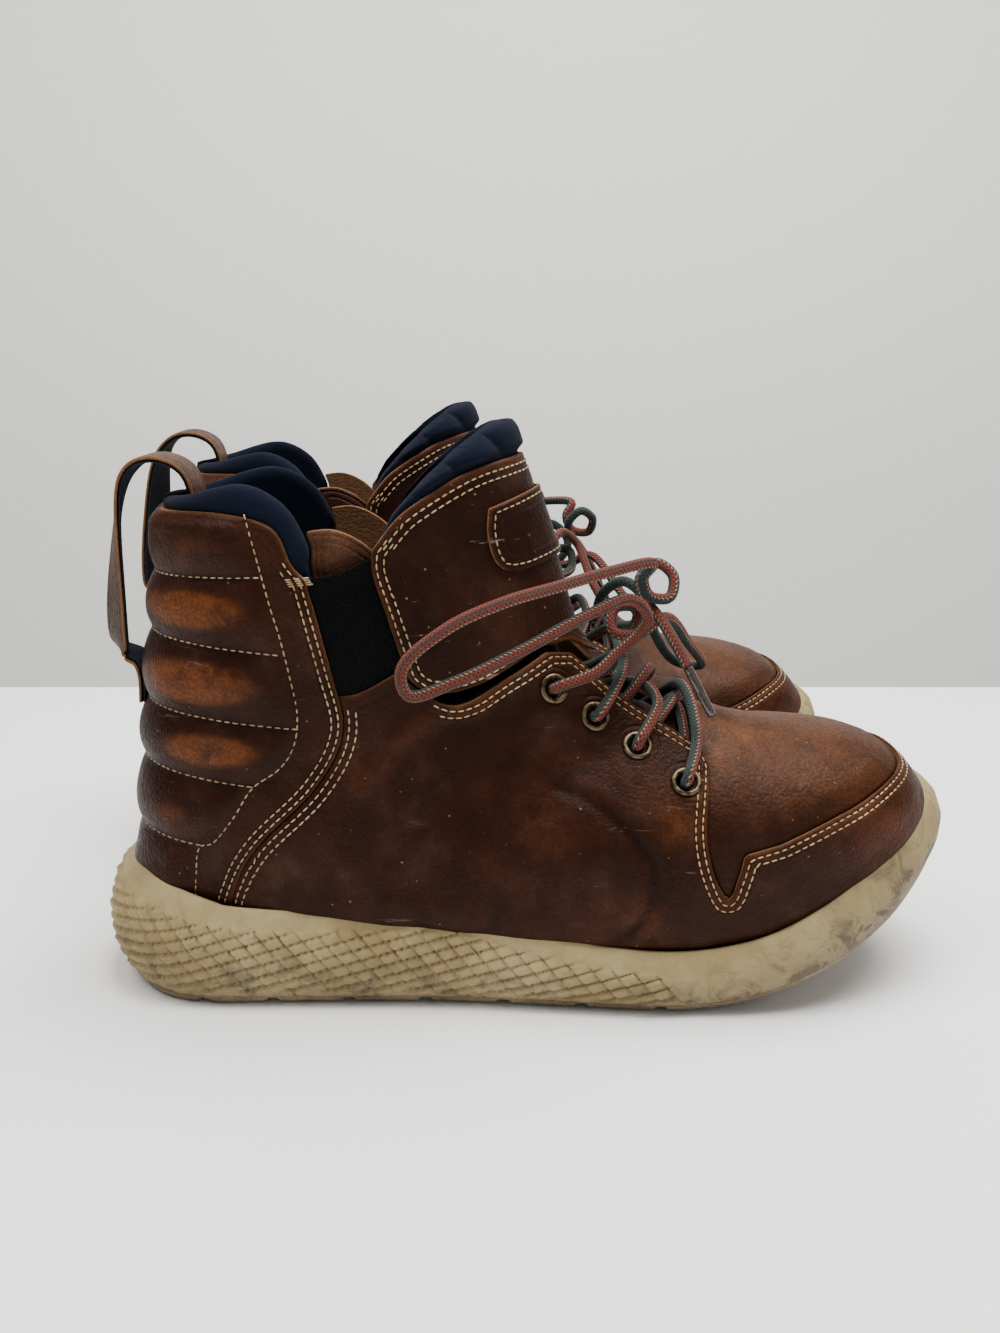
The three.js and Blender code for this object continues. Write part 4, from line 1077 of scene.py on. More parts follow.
def leather_effect():
    """Colour, roughness and height of oiled full-grain leather, with rubbed and raw places, painted highlights and
    painted shade.
    """
    tree = bpy.data.node_groups.new("oiled_leather", "ShaderNodeTree")
    for name, kind, value in (("Dark", "Color", None), ("Body", "Color", None), ("Stretched", "Color", None),
                              ("Grain size", "Float", 1.0), ("Wear", "Float", 0.5), ("Dust", "Float", 0.5)):
        socket = tree.interface.new_socket(name, in_out="INPUT", socket_type=f"NodeSocket{kind}")
        if value is not None:
            socket.default_value = value
    for name, kind in (("Color", "Color"), ("Roughness", "Float"), ("Height", "Float")):
        tree.interface.new_socket(name, in_out="OUTPUT", socket_type=f"NodeSocket{kind}")
    n = Nodes(tree)
    given = n.add("NodeGroupInput").outputs
    place = n.place()
    worn, raw, rim = n.value_of("worn"), n.value_of("raw"), n.value_of("rim")
    broad = n.noise(place, 22.0, 5.0, 0.6)
    blotch = n.noise(place, 75.0, 5.0, 0.62, 0.4)
    fine = n.noise(place, 420.0, 4.0, 0.6)
    pebble = n.add("ShaderNodeTexVoronoi", feature="SMOOTH_F1")
    bent = n.add("ShaderNodeVectorMath", operation="MULTIPLY_ADD")
    stir = n.add("ShaderNodeTexNoise")
    n.feed(stir.inputs["Vector"], place)
    stir.inputs["Scale"].default_value = 300.0
    n.feed(bent.inputs[0], stir.outputs["Color"])
    n.feed(bent.inputs[1], (0.0014, 0.0014, 0.0014))
    n.feed(bent.inputs[2], place)
    n.feed(pebble.inputs["Vector"], bent.outputs[0])
    n.feed(pebble.inputs["Scale"], n.math("DIVIDE", 950.0, given["Grain size"]))
    grain = n.step(pebble.outputs["Distance"], 0.15, 0.65)
    # hairline folds that run across the grain
    fold = n.math("ABSOLUTE", n.math("SUBTRACT", n.noise(place, 95.0, 3.0, 0.5, 1.2), 0.5))
    wrinkle = n.math("MULTIPLY", n.step(fold, 0.022, 0.0), n.step(broad, 0.50, 0.70))
    shade = n.math("ADD", n.math("MULTIPLY", blotch, 0.45), n.math("MULTIPLY", broad, 0.55))
    colour = n.mix(n.step(shade, 0.36, 0.66), given["Dark"], given["Body"])
    # the stretched colour goes where the leather is rubbed, and also where highlights are painted (top of the vamp,
    # ankle ridge)
    pull_up_and_highlight = n.math("ADD", n.math("MULTIPLY", worn, 1.15), n.math("MULTIPLY", n.step(broad, 0.52, 0.74), given["Wear"]))
    pull_up_and_highlight = n.math("MULTIPLY", pull_up_and_highlight, n.step(blotch, 0.18, 0.55))
    edge = n.math("MULTIPLY", n.step(rim, 0.9, 0.0), 0.28)
    pull_up_and_highlight = n.math("MAXIMUM", pull_up_and_highlight, edge, clamp=True)
    colour = n.mix(pull_up_and_highlight, colour, given["Stretched"])
    colour = n.mix(n.math("MULTIPLY", n.step(grain, 0.3, 0.95), 0.32), colour, (0.012, 0.006, 0.004))
    colour = n.mix(n.math("MULTIPLY", wrinkle, 0.10), colour, given["Stretched"])
    # painted shade: negative values (the pressed dent, the quilting channels) turn the colour dark
    colour = n.mix(n.step(worn, 0.0, -0.8), colour, (0.010, 0.004, 0.0025))
    # dry scuffs and specks of dust
    scratch_way = n.add("ShaderNodeMapping")
    n.feed(scratch_way.inputs["Vector"], place)
    scratch_way.inputs["Rotation"].default_value = (0.2, 0.7, 0.3)
    scratch_way.inputs["Scale"].default_value = (30.0, 60.0, 260.0)
    scratch = n.step(n.noise(scratch_way.outputs[0], 1.0, 4.0, 0.7), 0.66, 0.74)
    dust_cell = n.add("ShaderNodeTexVoronoi", feature="F1")
    n.feed(dust_cell.inputs["Vector"], place)
    dust_cell.inputs["Scale"].default_value = 210.0
    speck = n.math("MULTIPLY", n.step(dust_cell.outputs["Distance"], 0.10, 0.05), n.step(fine, 0.52, 0.6))
    haze = n.math("MULTIPLY", n.step(n.noise(place, 45.0, 6.0, 0.7), 0.5, 0.8), 0.07)
    marks = n.math("ADD", speck, n.math("MULTIPLY", scratch, 0.5))
    dry = n.math("ADD", n.math("MULTIPLY", marks, given["Dust"]), haze)
    colour = n.mix(n.math("MINIMUM", dry, 0.75), colour, (0.24, 0.18, 0.14))
    tan = n.mix(fine, (0.105, 0.048, 0.022), (0.26, 0.135, 0.064))
    colour = n.mix(n.step(raw, 0.25, 0.7), colour, tan)
    rough = n.step(fine, 0.25, 0.75, 0.38, 0.54)
    matt = n.math("MULTIPLY", n.math("ADD", dry, n.math("MULTIPLY", raw, 0.6)), 0.4)
    rough = n.math("ADD", rough, matt, clamp=True)
    rows = []
    for row in (1.7, 4.1):
        gap = n.math("ABSOLUTE", n.math("SUBTRACT", rim, row))
        rows.append(n.step(gap, 0.75, 0.15))
    groove = n.math("MULTIPLY", n.math("MAXIMUM", *rows), n.value_of("sewn"))
    height = n.math("ADD", n.math("MULTIPLY", grain, -0.30), n.math("MULTIPLY", fine, 0.35))
    height = n.math("SUBTRACT", height, n.math("MULTIPLY", wrinkle, 0.22))
    height = n.math("SUBTRACT", height, n.math("MULTIPLY", groove, 1.2))
    out = n.add("NodeGroupOutput")
    for name, value in (("Color", colour), ("Roughness", rough), ("Height", height)):
        n.feed(out.inputs[name], value)
    return tree


LEATHER_EFFECT = leather_effect()


def leather(name, dark, body, stretched, grain, wear, dust):
    material, n, shader = new_material(name, 0.45, Specular_IOR_Level=0.07)
    effect = n.add("ShaderNodeGroup", node_tree=LEATHER_EFFECT)
    for key, value in (("Dark", dark), ("Body", body), ("Stretched", stretched)):
        effect.inputs[key].default_value = (*value, 1.0)
    for key, value in (("Grain size", grain), ("Wear", wear), ("Dust", dust)):
        effect.inputs[key].default_value = value
    n.feed(shader.inputs["Base Color"], effect.outputs["Color"])
    n.feed(shader.inputs["Roughness"], effect.outputs["Roughness"])
    n.feed(shader.inputs["Normal"], n.bump(effect.outputs["Height"], 0.75, 0.0005))
    return material


VAMP_LEATHER = leather("vamp_leather", dark=(0.022, 0.0070, 0.0029), body=(0.042, 0.0138, 0.0054),
                       stretched=(0.128, 0.046, 0.015), grain=1.1, wear=0.55, dust=0.5)


def vamp_rim(points):
    return np.minimum(rim_distance(points, VAMP), -rim_distance(points, QUARTER) - 0.25)


def sole_top_at(x):
    return between_rows(SOLE_TOP, np.clip(x, 0, BOOT_LENGTH) / BOOT_LENGTH * (len(SOLE_TOP) - 1))


def sole_hug(points):
    """How far the leather swells where it goes down into the sole."""
    return 0.9 * smooth(points[:, 2] - sole_top_at(points[:, 0]), 9.0, 1.0)


def vamp_outer(points, rim):
    tucked = 1 - smooth(rim, 0.0, 9.0)
    folds = line_folds(points, FLEX_CREASES, 0.45, 1.8) * smooth(np.abs(points[:, 1] - toe_bend(points[:, 0])), 0, 9)
    return -0.1 - 1.15 * tucked - 0.5 * rounded(rim, 1.0) + folds + 0.7 * unevenness(points) + sole_hug(points)


def vamp_worn(points, rim):
    # painted highlight: the top of the vamp is lighter; the creases get a little wear
    ridge_highlight = np.exp(-((points[:, 0] - 262) / 30) ** 2) * smooth(points[:, 2], 66, 90)
    return 0.42 * ridge_highlight + 0.08 * smooth(line_folds(points, FLEX_CREASES, -1.0, 3.5), 0.25, 0.8)


panel_pieces("vamp", vamp_rim, vamp_outer, lambda p, rim: np.full(len(p), -2.25), VAMP_LEATHER, "upper_leather",
             "boot", worn=vamp_worn)

# ---- quarter wrap ------------------------------------------------------------------------------------
# One piece of the same hide round the boot: both sides, the eyelet stays, the tab and the toe apron.
# It laps over the vamp with a raw cut edge, and two rows of cream thread hold it down.
QUARTER_LEATHER = leather("quarter_leather", dark=(0.0165, 0.0046, 0.0020), body=(0.035, 0.0102, 0.0042),
                          stretched=(0.150, 0.047, 0.014), grain=1.0, wear=0.12, dust=0.7)
EYELETS = [(165.8, 112.3), (180.5, 102.1), (195.3, 92.3), (211.6, 82.1)]
DENT = [(167.3, 81.1), (181, 75.3), (193.1, 65.5), (200.1, 54.8), (199.4, 44), (192.2, 30.7), (178.4, 21)]
BESIDE_DENT = [(x + 4.6, z + 2) for x, z in DENT]
ANKLE_RIDGE = [(99.1, 81.8), (113.1, 98), (126.8, 106.9), (140.2, 109.7)]
OPEN_EDGE = outline_of(NOTCH[18:], LACE_EDGE, TAB_EDGE, APRON_EDGE)
EYELET_CENTRES = {side: side_point(*zip(*EYELETS), side) for side in (-1, 1)}


def quarter_rim(points):
    rim = rim_distance(points, QUARTER) - 0.05
    for side, centres in EYELET_CENTRES.items():
        for centre in centres:
            rim = np.minimum(rim, np.linalg.norm(points - centre, axis=1) - 3.5)
    return rim


def near_open_edge(points):
    return smooth(line_distance(points[:, [0, 2]], OPEN_EDGE), 9.0, 4.0)


def sewn_puckers(rim):
    return -0.22 * (np.exp(-((rim - 1.7) / 0.5) ** 2) + np.exp(-((rim - 4.1) / 0.5) ** 2))


def quarter_outer(points, rim):
    lap = near_open_edge(points)
    heel_side = smooth(rim_distance(points, HEEL), -6, 0)
    folds = line_folds(points, [DENT], 1.65, 2.2) + line_folds(points, [BESIDE_DENT], -0.6, 2.4)
    folds += line_folds(points, [ANKLE_RIDGE], -1.1, 3.5)
    stay = 0.3 * smooth(line_distance(points[:, [0, 2]], np.array(EYELETS)), 14, 6)
    return (0.05 + 0.35 * lap * (1 - smooth(rim, 3, 9)) - 0.7 * heel_side * (1 - smooth(rim, 0, 5))
            - 0.5 * rounded(rim, 0.9) + sewn_puckers(rim) + folds * (1 - sole_hug(points) / 0.9) + stay
            + 0.7 * unevenness(points) + sole_hug(points))


def quarter_worn(points, rim):
    toe = np.exp(-((points[:, 0] - 285) / 22) ** 2) * np.exp(-((points[:, 2] - 66) / 12) ** 2)
    ball = np.exp(-((points[:, 0] - 207) / 7) ** 2 - ((points[:, 2] - 70) / 6) ** 2)
    ball += 1.2 * np.exp(-((points[:, 0] - 197) / 6) ** 2 - ((points[:, 2] - 36) / 9) ** 2)
    # painted highlight: lighter along the ankle ridge
    ridge_highlight = np.exp(-(line_distance(points[:, [0, 2]], np.array(ANKLE_RIDGE)) / 4) ** 2)
    # painted shade: darker in the pressed dent
    dent_shade = np.exp(-(line_distance(points[:, [0, 2]], curve_through(DENT, 48)) / 1.6) ** 2)
    wear_and_highlight = 0.28 * toe + 0.35 * ball + 0.16 * ridge_highlight + 0.22 * near_open_edge(points) * smooth(rim, 7, 1)
    return np.clip(wear_and_highlight, 0, 1) - 0.45 * dent_shade


panel_pieces("quarter_wrap", quarter_rim, quarter_outer, lambda p, rim: np.full(len(p), -1.95),
             QUARTER_LEATHER, "upper_leather", "boot", worn=quarter_worn, sewn=lambda p, rim: near_open_edge(p))

# ---- heel panel ------------------------------------------------------------------------------------
# Leather over foam, quilted in five channels, with a flat border sewn down along its front edge.
# The crowns of the quilting are rubbed to a light orange brown, and painted shade darkens the channels between them.
CHANNELS = np.array([(27.3, 178.5, 69.2, 178.5), (27.3, 152.8, 69.2, 154.6), (24.3, 132.1, 71.6, 128.4),
                     (22.4, 106.7, 77.1, 102.3), (20.1, 85.1, 60.6, 81.7), (18.6, 60.6, 40.9, 59.1),
                     (18.6, 33, 40.9, 33)])
QUILT_BORDER = curve_through([(63.3, 174.4), (66.8, 159.9), (70.4, 145.1), (73.5, 133.6), (76.2, 119.7), (78, 107.4),
                              (76.5, 96.6), (71.3, 88.3), (61.3, 80.9), (54.6, 70.5), (46.8, 60.7), (40.4, 56.8),
                              (38.7, 39.5)], 60)


def quilt_border_x(z):
    return np.interp(z, QUILT_BORDER[::-1, 1], QUILT_BORDER[::-1, 0])


def channel_heights(x):
    share = np.clip((x[:, None] - CHANNELS[:, 0]) / (CHANNELS[:, 2] - CHANNELS[:, 0]), 0, 1.2)
    return CHANNELS[:, 1] + share * (CHANNELS[:, 3] - CHANNELS[:, 1])


def quilting(points):
    """How far the quilted pillows stand up, from 0 in the channels and on the border to 1."""
    x, z = points[:, 0], points[:, 2]
    behind = x < quilt_border_x(z)
    border = np.where(behind, line_distance(points[:, [0, 2]], QUILT_BORDER), 0.0)
    heights = channel_heights(x)
    crown = np.zeros(len(x))
    for upper, lower in zip(heights.T[:-1], heights.T[1:]):
        share = (z - lower) / (upper - lower)
        crown = np.where((share > 0) & (share < 1), np.sin(math.pi * np.clip(share, 0, 1)) ** 0.7, crown)
    return crown * (1 - (1 - np.clip(border / 9.0, 0, 1)) ** 2) * smooth(175.5 - z, 0, 5)


def heel_outer(points, rim):
    seam = line_folds(points, [QUILT_BORDER[::6]], 0.35, 1.2)
    return -0.35 + sole_hug(points) + 3.4 * quilting(points) + seam - 0.6 * rounded(rim, 1.3) + sewn_puckers(rim) * (
        points[:, 0] > 45) + 0.5 * unevenness(points) + 0.35 * (1 - smooth(rim, 3, 8))


# middle in the side view, half length, half height and strength
RUBBED_PATCHES = [(44, 143, 19, 6.5, 1.0), (44, 118, 21, 7.5, 1.1), (48, 94.5, 17, 5.5, 1.0), (48, 165, 20, 6, 0.35),
                  (34, 71, 12, 6, 0.4)]


def heel_worn(points, rim):
    crown = quilting(points)
    x, z = points[:, 0], points[:, 2]
    patches = sum(strength * np.exp(-((x - px) / wx) ** 2 - ((z - pz) / wz) ** 2)
                  for px, pz, wx, wz, strength in RUBBED_PATCHES)
    # painted shade: the quilting channels behind the border are darkened
    channel_shade = smooth(crown, 0.45, 0.05) * smooth(quilt_border_x(z) - x, 2, 6)
    return 0.72 * smooth(patches * smooth(crown, 0.2, 0.8), 0.22, 0.62) - 0.6 * channel_shade * smooth(172 - z, 0, 4)


for piece in panel_pieces("heel_panel", lambda p: rim_distance(p, HEEL) - 0.25, heel_outer,
                          lambda p, rim: np.full(len(p), -2.0), QUARTER_LEATHER, "upper_leather", "boot",
                          worn=heel_worn, sewn=lambda p, rim: smooth(line_distance(p[:, [0, 2]], HEEL_FRONT), 9, 6)):
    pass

# ---- elastic gores ---------------------------------------------------------------------------------
# Black ribbed elastic between the heel panel, the quarter and the cuff, with a woven hem at its top.
# It is sewn behind their edges.
GORE = outline_of((70, 150), curve_through([(82.6, 154.3), (92, 155.4), (106, 161.3)], 16), (125, 161), (125, 100),
                  (70, 100))
CUFF_REAR = curve_through([(105, 163.3), (104.8, 155.6), (108.9, 142.4), (113.6, 127.2), (116.5, 118.5)], 32)
CUFF_LOW = curve_through([(122, 114.4), (131, 114), (141, 116.8), (151, 121.6), (161, 127)], 32)
CUFF_TOP = curve_through([(156, 192.5), (137, 187.8), (117.7, 177), (110.5, 170.5)], 36)
CUFF = outline_of(CUFF_REAR, CUFF_LOW, (173, 127.4), (184, 120.4), (215, 120.4), (215, 192.5), CUFF_TOP)


GORE_LEAN = 0.25
RIB_PITCH = 0.95
PICK_PITCH = 0.6


def elastic_material():
    material, n, shader = new_material("black_elastic", 0.85, Specular_IOR_Level=0.05)
    x, z = n.pattern()
    across = n.math("ADD", x, n.math("MULTIPLY", z, GORE_LEAN))
    down = n.math("SUBTRACT", z, n.math("MULTIPLY", x, GORE_LEAN))
    ribs = n.math("PINGPONG", n.math("MULTIPLY", across, 1.0 / RIB_PITCH), 0.5)
    picks = n.math("PINGPONG", n.math("MULTIPLY", down, 1.0 / PICK_PITCH), 0.5)
    fuzz = n.noise(n.place(), 1800.0, 3.0)
    weave = n.math("ADD", n.math("MULTIPLY", ribs, 1.2), n.math("MULTIPLY", picks, 0.5))
    colour = n.mix(n.step(weave, 0.1, 0.75), (0.0013, 0.0013, 0.0016), (0.0052, 0.0052, 0.0060))
    colour = n.mix(n.math("MULTIPLY", n.step(fuzz, 0.55, 0.72), 0.35), colour, (0.014, 0.014, 0.016))
    n.feed(shader.inputs["Base Color"], colour)
    n.feed(shader.inputs["Roughness"], n.step(fuzz, 0.2, 0.8, 0.75, 0.92))
    n.feed(shader.inputs["Normal"], n.bump(n.math("ADD", weave, n.math("MULTIPLY", fuzz, 0.3)), 1.0, 0.0005))
    return material


ELASTIC = elastic_material()


def gore_rim(side):
    def rim_of(points):
        rim = np.minimum(rim_distance(points, GORE), -rim_distance(points, HEEL) + 0.15)
        rim = np.minimum(rim, -rim_distance(points, QUARTER) + 0.15)
        rim = np.minimum(rim, -rim_distance(points, CUFF) + 0.15)
        return np.minimum(rim, side * (points[:, 1] - toe_bend(points[:, 0])) - 5)
    return rim_of


def gore_outer(points, rim):
    top = line_distance(points[:, [0, 2]], GORE[1:18])
    hem = 0.45 * smooth(top, 7.4, 6.8) - 0.25 * np.exp(-((top - 6.9) / 0.5) ** 2)
    ribs = 0.06 * np.sin((points[:, 0] + GORE_LEAN * points[:, 2]) * math.pi / RIB_PITCH)
    return -1.35 + hem + ribs - 0.3 * rounded(rim, 0.8)


for side, word in ((-1, "lateral"), (1, "medial")):
    pieces = panel_pieces(f"gore_{word}", gore_rim(side), gore_outer, lambda p, rim: np.full(len(p), -2.25), ELASTIC,
                          "black_elastic", None, flat_map=True)
    for piece, boot in zip(pieces, SIDES):
        start, end = SIDES[boot](np.array([(88.0, side * 30.0, 132.0), (110.0, side * 30.0, 139.0)]))
        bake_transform(piece)

# ---- ankle flaps ------------------------------------------------------------------------------------
# Rounded flaps of split leather behind the gores, raw at the edge. They are cut from one thickness,
# sewn in with the collar, and close the gap between collar and tongue round the ankle.
FLAP = outline_of(curve_through([(80, 112), (98, 103), (116, 106), (124, 116), (121, 138), (108, 160), (93, 169),
                                 (78, 168)], 60))
FLAP_LEATHER = leather("flap_leather", dark=(0.035, 0.014, 0.008), body=(0.085, 0.036, 0.019),
                       stretched=(0.26, 0.12, 0.05), grain=0.8, wear=0.4, dust=0.3)


def flap_rim(side):
    def rim_of(points):
        rim = np.minimum(rim_distance(points, FLAP), -rim_distance(points, COLLAR) - 0.4)
        return np.minimum(rim, side * (points[:, 1] - toe_bend(points[:, 0])) - 4)
    return rim_of


for side, word in ((-1, "lateral"), (1, "medial")):
    panel_pieces(f"ankle_flap_{word}", flap_rim(side),
                 lambda p, rim: -6.5 - 0.4 * rounded(rim, 1.0) + 0.4 * unevenness(p),
                 lambda p, rim: -8.4 + 0.4 * unevenness(p), FLAP_LEATHER, "cuff_leather", "boot",
                 sewn=lambda p, rim: np.ones(len(p)))

# ---- tongue gusset ----------------------------------------------------------------------------------
# Soft folded leather under the lacing that joins the tongue to the inside of the vamp. It is cut
# wide and sewn in on both sides, so it lies in loose folds and lets the throat open.
GUSSET = outline_of(curve_through([(142, 118), (158, 104), (185, 91), (214, 79), (248, 80)], 40), (252, 110),
                    (200, 124), (181, 128), (160, 136), (146, 132))
GUSSET_FOLDS = [[(168, 124), (180, 113), (192, 104), (206, 96)], [(182, 122), (194, 111), (206, 104)],
                [(206, 108), (212, 98), (216, 90)]]


def lacing_dip(place):
    share = np.clip((10.9 - place) / 1.7, 0, 1)
    return -6.8 * share * share * (3 - 2 * share)


gusset_net = cut_panel(lambda p: rim_distance(p, GUSSET), levels=(0.5, 1.2))
gusset_base = form_point(gusset_net[0][:, 0], gusset_net[0][:, 1])
gusset_dip = lacing_dip(gusset_net[0][:, 0])
gusset_fold = line_folds(gusset_base, GUSSET_FOLDS, 0.9, 2.2) + 0.5 * unevenness(gusset_base)
points, faces, kind, on_rim = panel_mesh(gusset_net[0], gusset_net[1], -4.9 + gusset_dip + gusset_fold,
                                         -7.0 + gusset_dip + gusset_fold)
CUFF_LEATHER = leather("cuff_leather", dark=(0.0150, 0.0041, 0.0019), body=(0.029, 0.0084, 0.0036),
                       stretched=(0.14, 0.045, 0.014), grain=0.9, wear=0.07, dust=2.2)
for side in SIDES:
    gusset = new_piece(f"{side}_gusset_fold", points, faces, side, "cuff_leather", CUFF_LEATHER,
                       raw=np.zeros(len(points)), rim=np.full(len(points), 9.0))
    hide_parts(f"{side}_tongue_gusset")
    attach(gusset, f"{side}_boot")

# ---- tongue cuff, its lining and its patch ----------------------------------------------------------
# The ankle part of the tongue: a leather cuff, a padded navy lining that rolls over its top edge, and
# a small sewn leather patch with a plain pressed field. They tip forward together to open the boot.
PATCH = outline_of(curve_through([(142.8, 175.6), (142.4, 168), (144.6, 159), (149, 154.6), (156, 154.6)], 40),
                   (170, 158), (200, 166), (200, 190), (158, 180.6))


def cuff_outer(points, rim):
    edge = smooth(line_distance(points[:, [0, 2]], outline_of(CUFF_REAR, CUFF_LOW)), 9, 5)
    return (0.1 + 0.25 * edge * (1 - smooth(rim, 3, 8)) - 0.5 * rounded(rim, 0.9)
            + sewn_puckers(rim) * smooth(points[:, 2], 112, 118) + 0.8 * unevenness(points)
            - 0.35 * np.exp(-(rim_distance(points, PATCH) / 2.0) ** 2))


def cuff_worn(points, rim):
    front = np.exp(-((points[:, 0] - 150) / 12) ** 2 - ((points[:, 2] - 140) / 15) ** 2)
    return 0.25 * smooth(rim, 4, 0.5) + 0.15 * front


panel_pieces("tongue_cuff", lambda p: rim_distance(p, CUFF), cuff_outer, lambda p, rim: np.full(len(p), -1.95),
             CUFF_LEATHER, "cuff_leather", "tongue", worn=cuff_worn,
             sewn=lambda p, rim: smooth(line_distance(p[:, [0, 2]], outline_of(CUFF_REAR, CUFF_LOW)), 8, 5.5) * 0.9)

ROLL_TOP = curve_through([(156, 206), (146, 202), (134, 194), (121, 183), (113, 175)], 40)
TONGUE_LINING = outline_of(
    curve_through([(108.5, 168), (107, 157), (111.5, 143), (116, 128), (119, 120)], 30),
    curve_through([(124, 116.8), (132, 116.4), (141, 119), (151, 123.8), (161, 129)], 30),
    (173, 129.4), (184, 122.6), (215, 122.6), (215, 206), ROLL_TOP)


def lining_proud(points):
    return smooth(-rim_distance(points, CUFF), -1.0, 4.0) * smooth(points[:, 2], 166, 176)


def roll_lobes(points):
    """Soft lobes along the roll, where the padding bunches between its tacks."""
    along = points[:, 0] * 0.75 + points[:, 2] * 0.65
    return np.abs(np.sin(along * math.pi / 15.0 + 0.6)) ** 0.6 * lining_proud(points)


def tongue_lining_outer(points, rim):
    proud = lining_proud(points)
    return -2.35 + (0.9 + 3.0 * roll_lobes(points)) * proud - 2.6 * rounded(rim, 4.5) * proud


def tongue_lining_inner(points, rim):
    proud = lining_proud(points)
    return -4.8 - 3.6 * proud - 0.8 * roll_lobes(points) + 3.2 * rounded(rim, 4.5) * proud


for piece in panel_pieces("tongue_lining", lambda p: rim_distance(p, TONGUE_LINING), tongue_lining_outer,
                          tongue_lining_inner, NAVY, "navy_textile", "tongue"):
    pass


def patch_outer(points, rim):
    field = smooth(rim, 4.6, 5.4)
    seam = np.exp(-((rim - 2.0) / 0.6) ** 2)
    return 1.75 - 0.55 * rounded(rim, 0.8) - 0.35 * seam - 0.55 * field + 0.8 * unevenness(points)


panel_pieces("tongue_patch", lambda p: rim_distance(p, PATCH), patch_outer,
             lambda p, rim: np.full(len(p), 0.15), CUFF_LEATHER, "cuff_leather", "tongue",
             levels=(0.4, 1.0, 1.7, 2.8, 4.6, 5.4))

# ---- pull loops -------------------------------------------------------------------------------------
# A strap folded into a loop over the back of the collar: leather outside, navy webbing inside. One
# end is sewn into the padding, the other is sewn down low on the heel panel.
STRAP_PATH = curve_through([(39.6, 154), (39.8, 174), (36.5, 186), (27, 190.5), (17.5, 187.5), (11.8, 176.5),
                            (8.6, 150), (7.4, 126), (9.6, 120.6), (14.6, 117.6), (16.9, 112.5), (16.7, 103)], 150)
STRAP_HALF = 9.5


def strap_layer(low, high, half):
    """A flat strap with soft edges between two distances from the loop's middle line."""
    tangent = np.gradient(STRAP_PATH, axis=0)
    tangent /= np.linalg.norm(tangent, axis=1)[:, None]
    out = np.stack([-tangent[:, 1], tangent[:, 0]], axis=1)
    thick = high - low
    turn = np.linspace(0, 2 * math.pi, 28, endpoint=False)
    y = np.sign(np.cos(turn)) * np.abs(np.cos(turn)) ** 0.28 * half
    t = low + thick * (0.5 + 0.5 * np.sign(np.sin(turn)) * np.abs(np.sin(turn)) ** 0.5)
    wave = 0.35 * np.sin(np.linspace(0, 19, len(STRAP_PATH)))
    # the free leg is twisted a little, so that its near edge swings in and its far edge out
    share = np.linspace(0, 1, len(STRAP_PATH))
    twist = (0.6 * np.exp(-((share - 0.62) / 0.16) ** 2))[:, None]
    lean = -y * np.sin(twist)
    rings = np.stack([STRAP_PATH[:, None, 0] + out[:, None, 0] * (t * np.cos(twist)) + np.abs(out[:, None, 0]) * lean,
                      y * np.cos(twist) + t * np.sin(twist) + wave[:, None],
                      STRAP_PATH[:, None, 1] + out[:, None, 1] * t], axis=-1)
    points = rings.reshape(-1, 3)
    around, count = len(turn), len(STRAP_PATH)
    faces = closed_tube_faces(count, around)
    rim = np.tile(np.clip(half - np.abs(y), 0, None), count)
    run = np.concatenate([[0], np.cumsum(np.linalg.norm(np.diff(STRAP_PATH, axis=0), axis=1))])
    uv = np.stack([np.tile(y, count), np.repeat(run, around)], axis=1)
    return points, faces, rim, uv


def webbing_material():
    material, n, shader = new_material("navy_webbing", 0.85, Specular_IOR_Level=0.12)
    across, along = (n.math("MULTIPLY", part, 0.9) for part in n.pattern())
    one = n.math("PINGPONG", n.math("ADD", across, along), 0.5)
    two = n.math("PINGPONG", n.math("SUBTRACT", across, along), 0.5)
    weave = n.math("MAXIMUM", one, two)
    fuzz = n.noise(n.place(), 2200.0)
    colour = n.mix(n.step(weave, 0.25, 0.5), (0.003, 0.004, 0.008), (0.011, 0.014, 0.027))
    colour = n.mix(n.math("MULTIPLY", fuzz, 0.25), colour, (0.08, 0.09, 0.12))
    n.feed(shader.inputs["Base Color"], colour)
    n.feed(shader.inputs["Normal"], n.bump(weave, 0.8, 0.0005))
    return material


LOOP_LEATHER = leather("loop_leather", dark=(0.035, 0.014, 0.008), body=(0.085, 0.036, 0.019),
                       stretched=(0.24, 0.105, 0.045), grain=0.9, wear=0.5, dust=0.6)
WEBBING = webbing_material()
for side in SIDES:
    for word, low, high, half, material, slot in (("leather", -1.35, 0.1, STRAP_HALF, LOOP_LEATHER, "upper_leather"),
                                                  ("webbing", 0.15, 1.3, STRAP_HALF - 0.9, WEBBING, "navy_textile")):
        points, faces, rim, uv = strap_layer(low, high, half)
        strap = new_piece(f"{side}_pull_loop_{word}", points, faces, side, slot, material, uv, rim=rim,
                          raw=(rim < 0.35) * 0.8, sewn=np.ones(len(rim)))
        if word == "leather":
            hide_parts(f"{side}_pull_loop")
        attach(strap, f"{side}_boot")

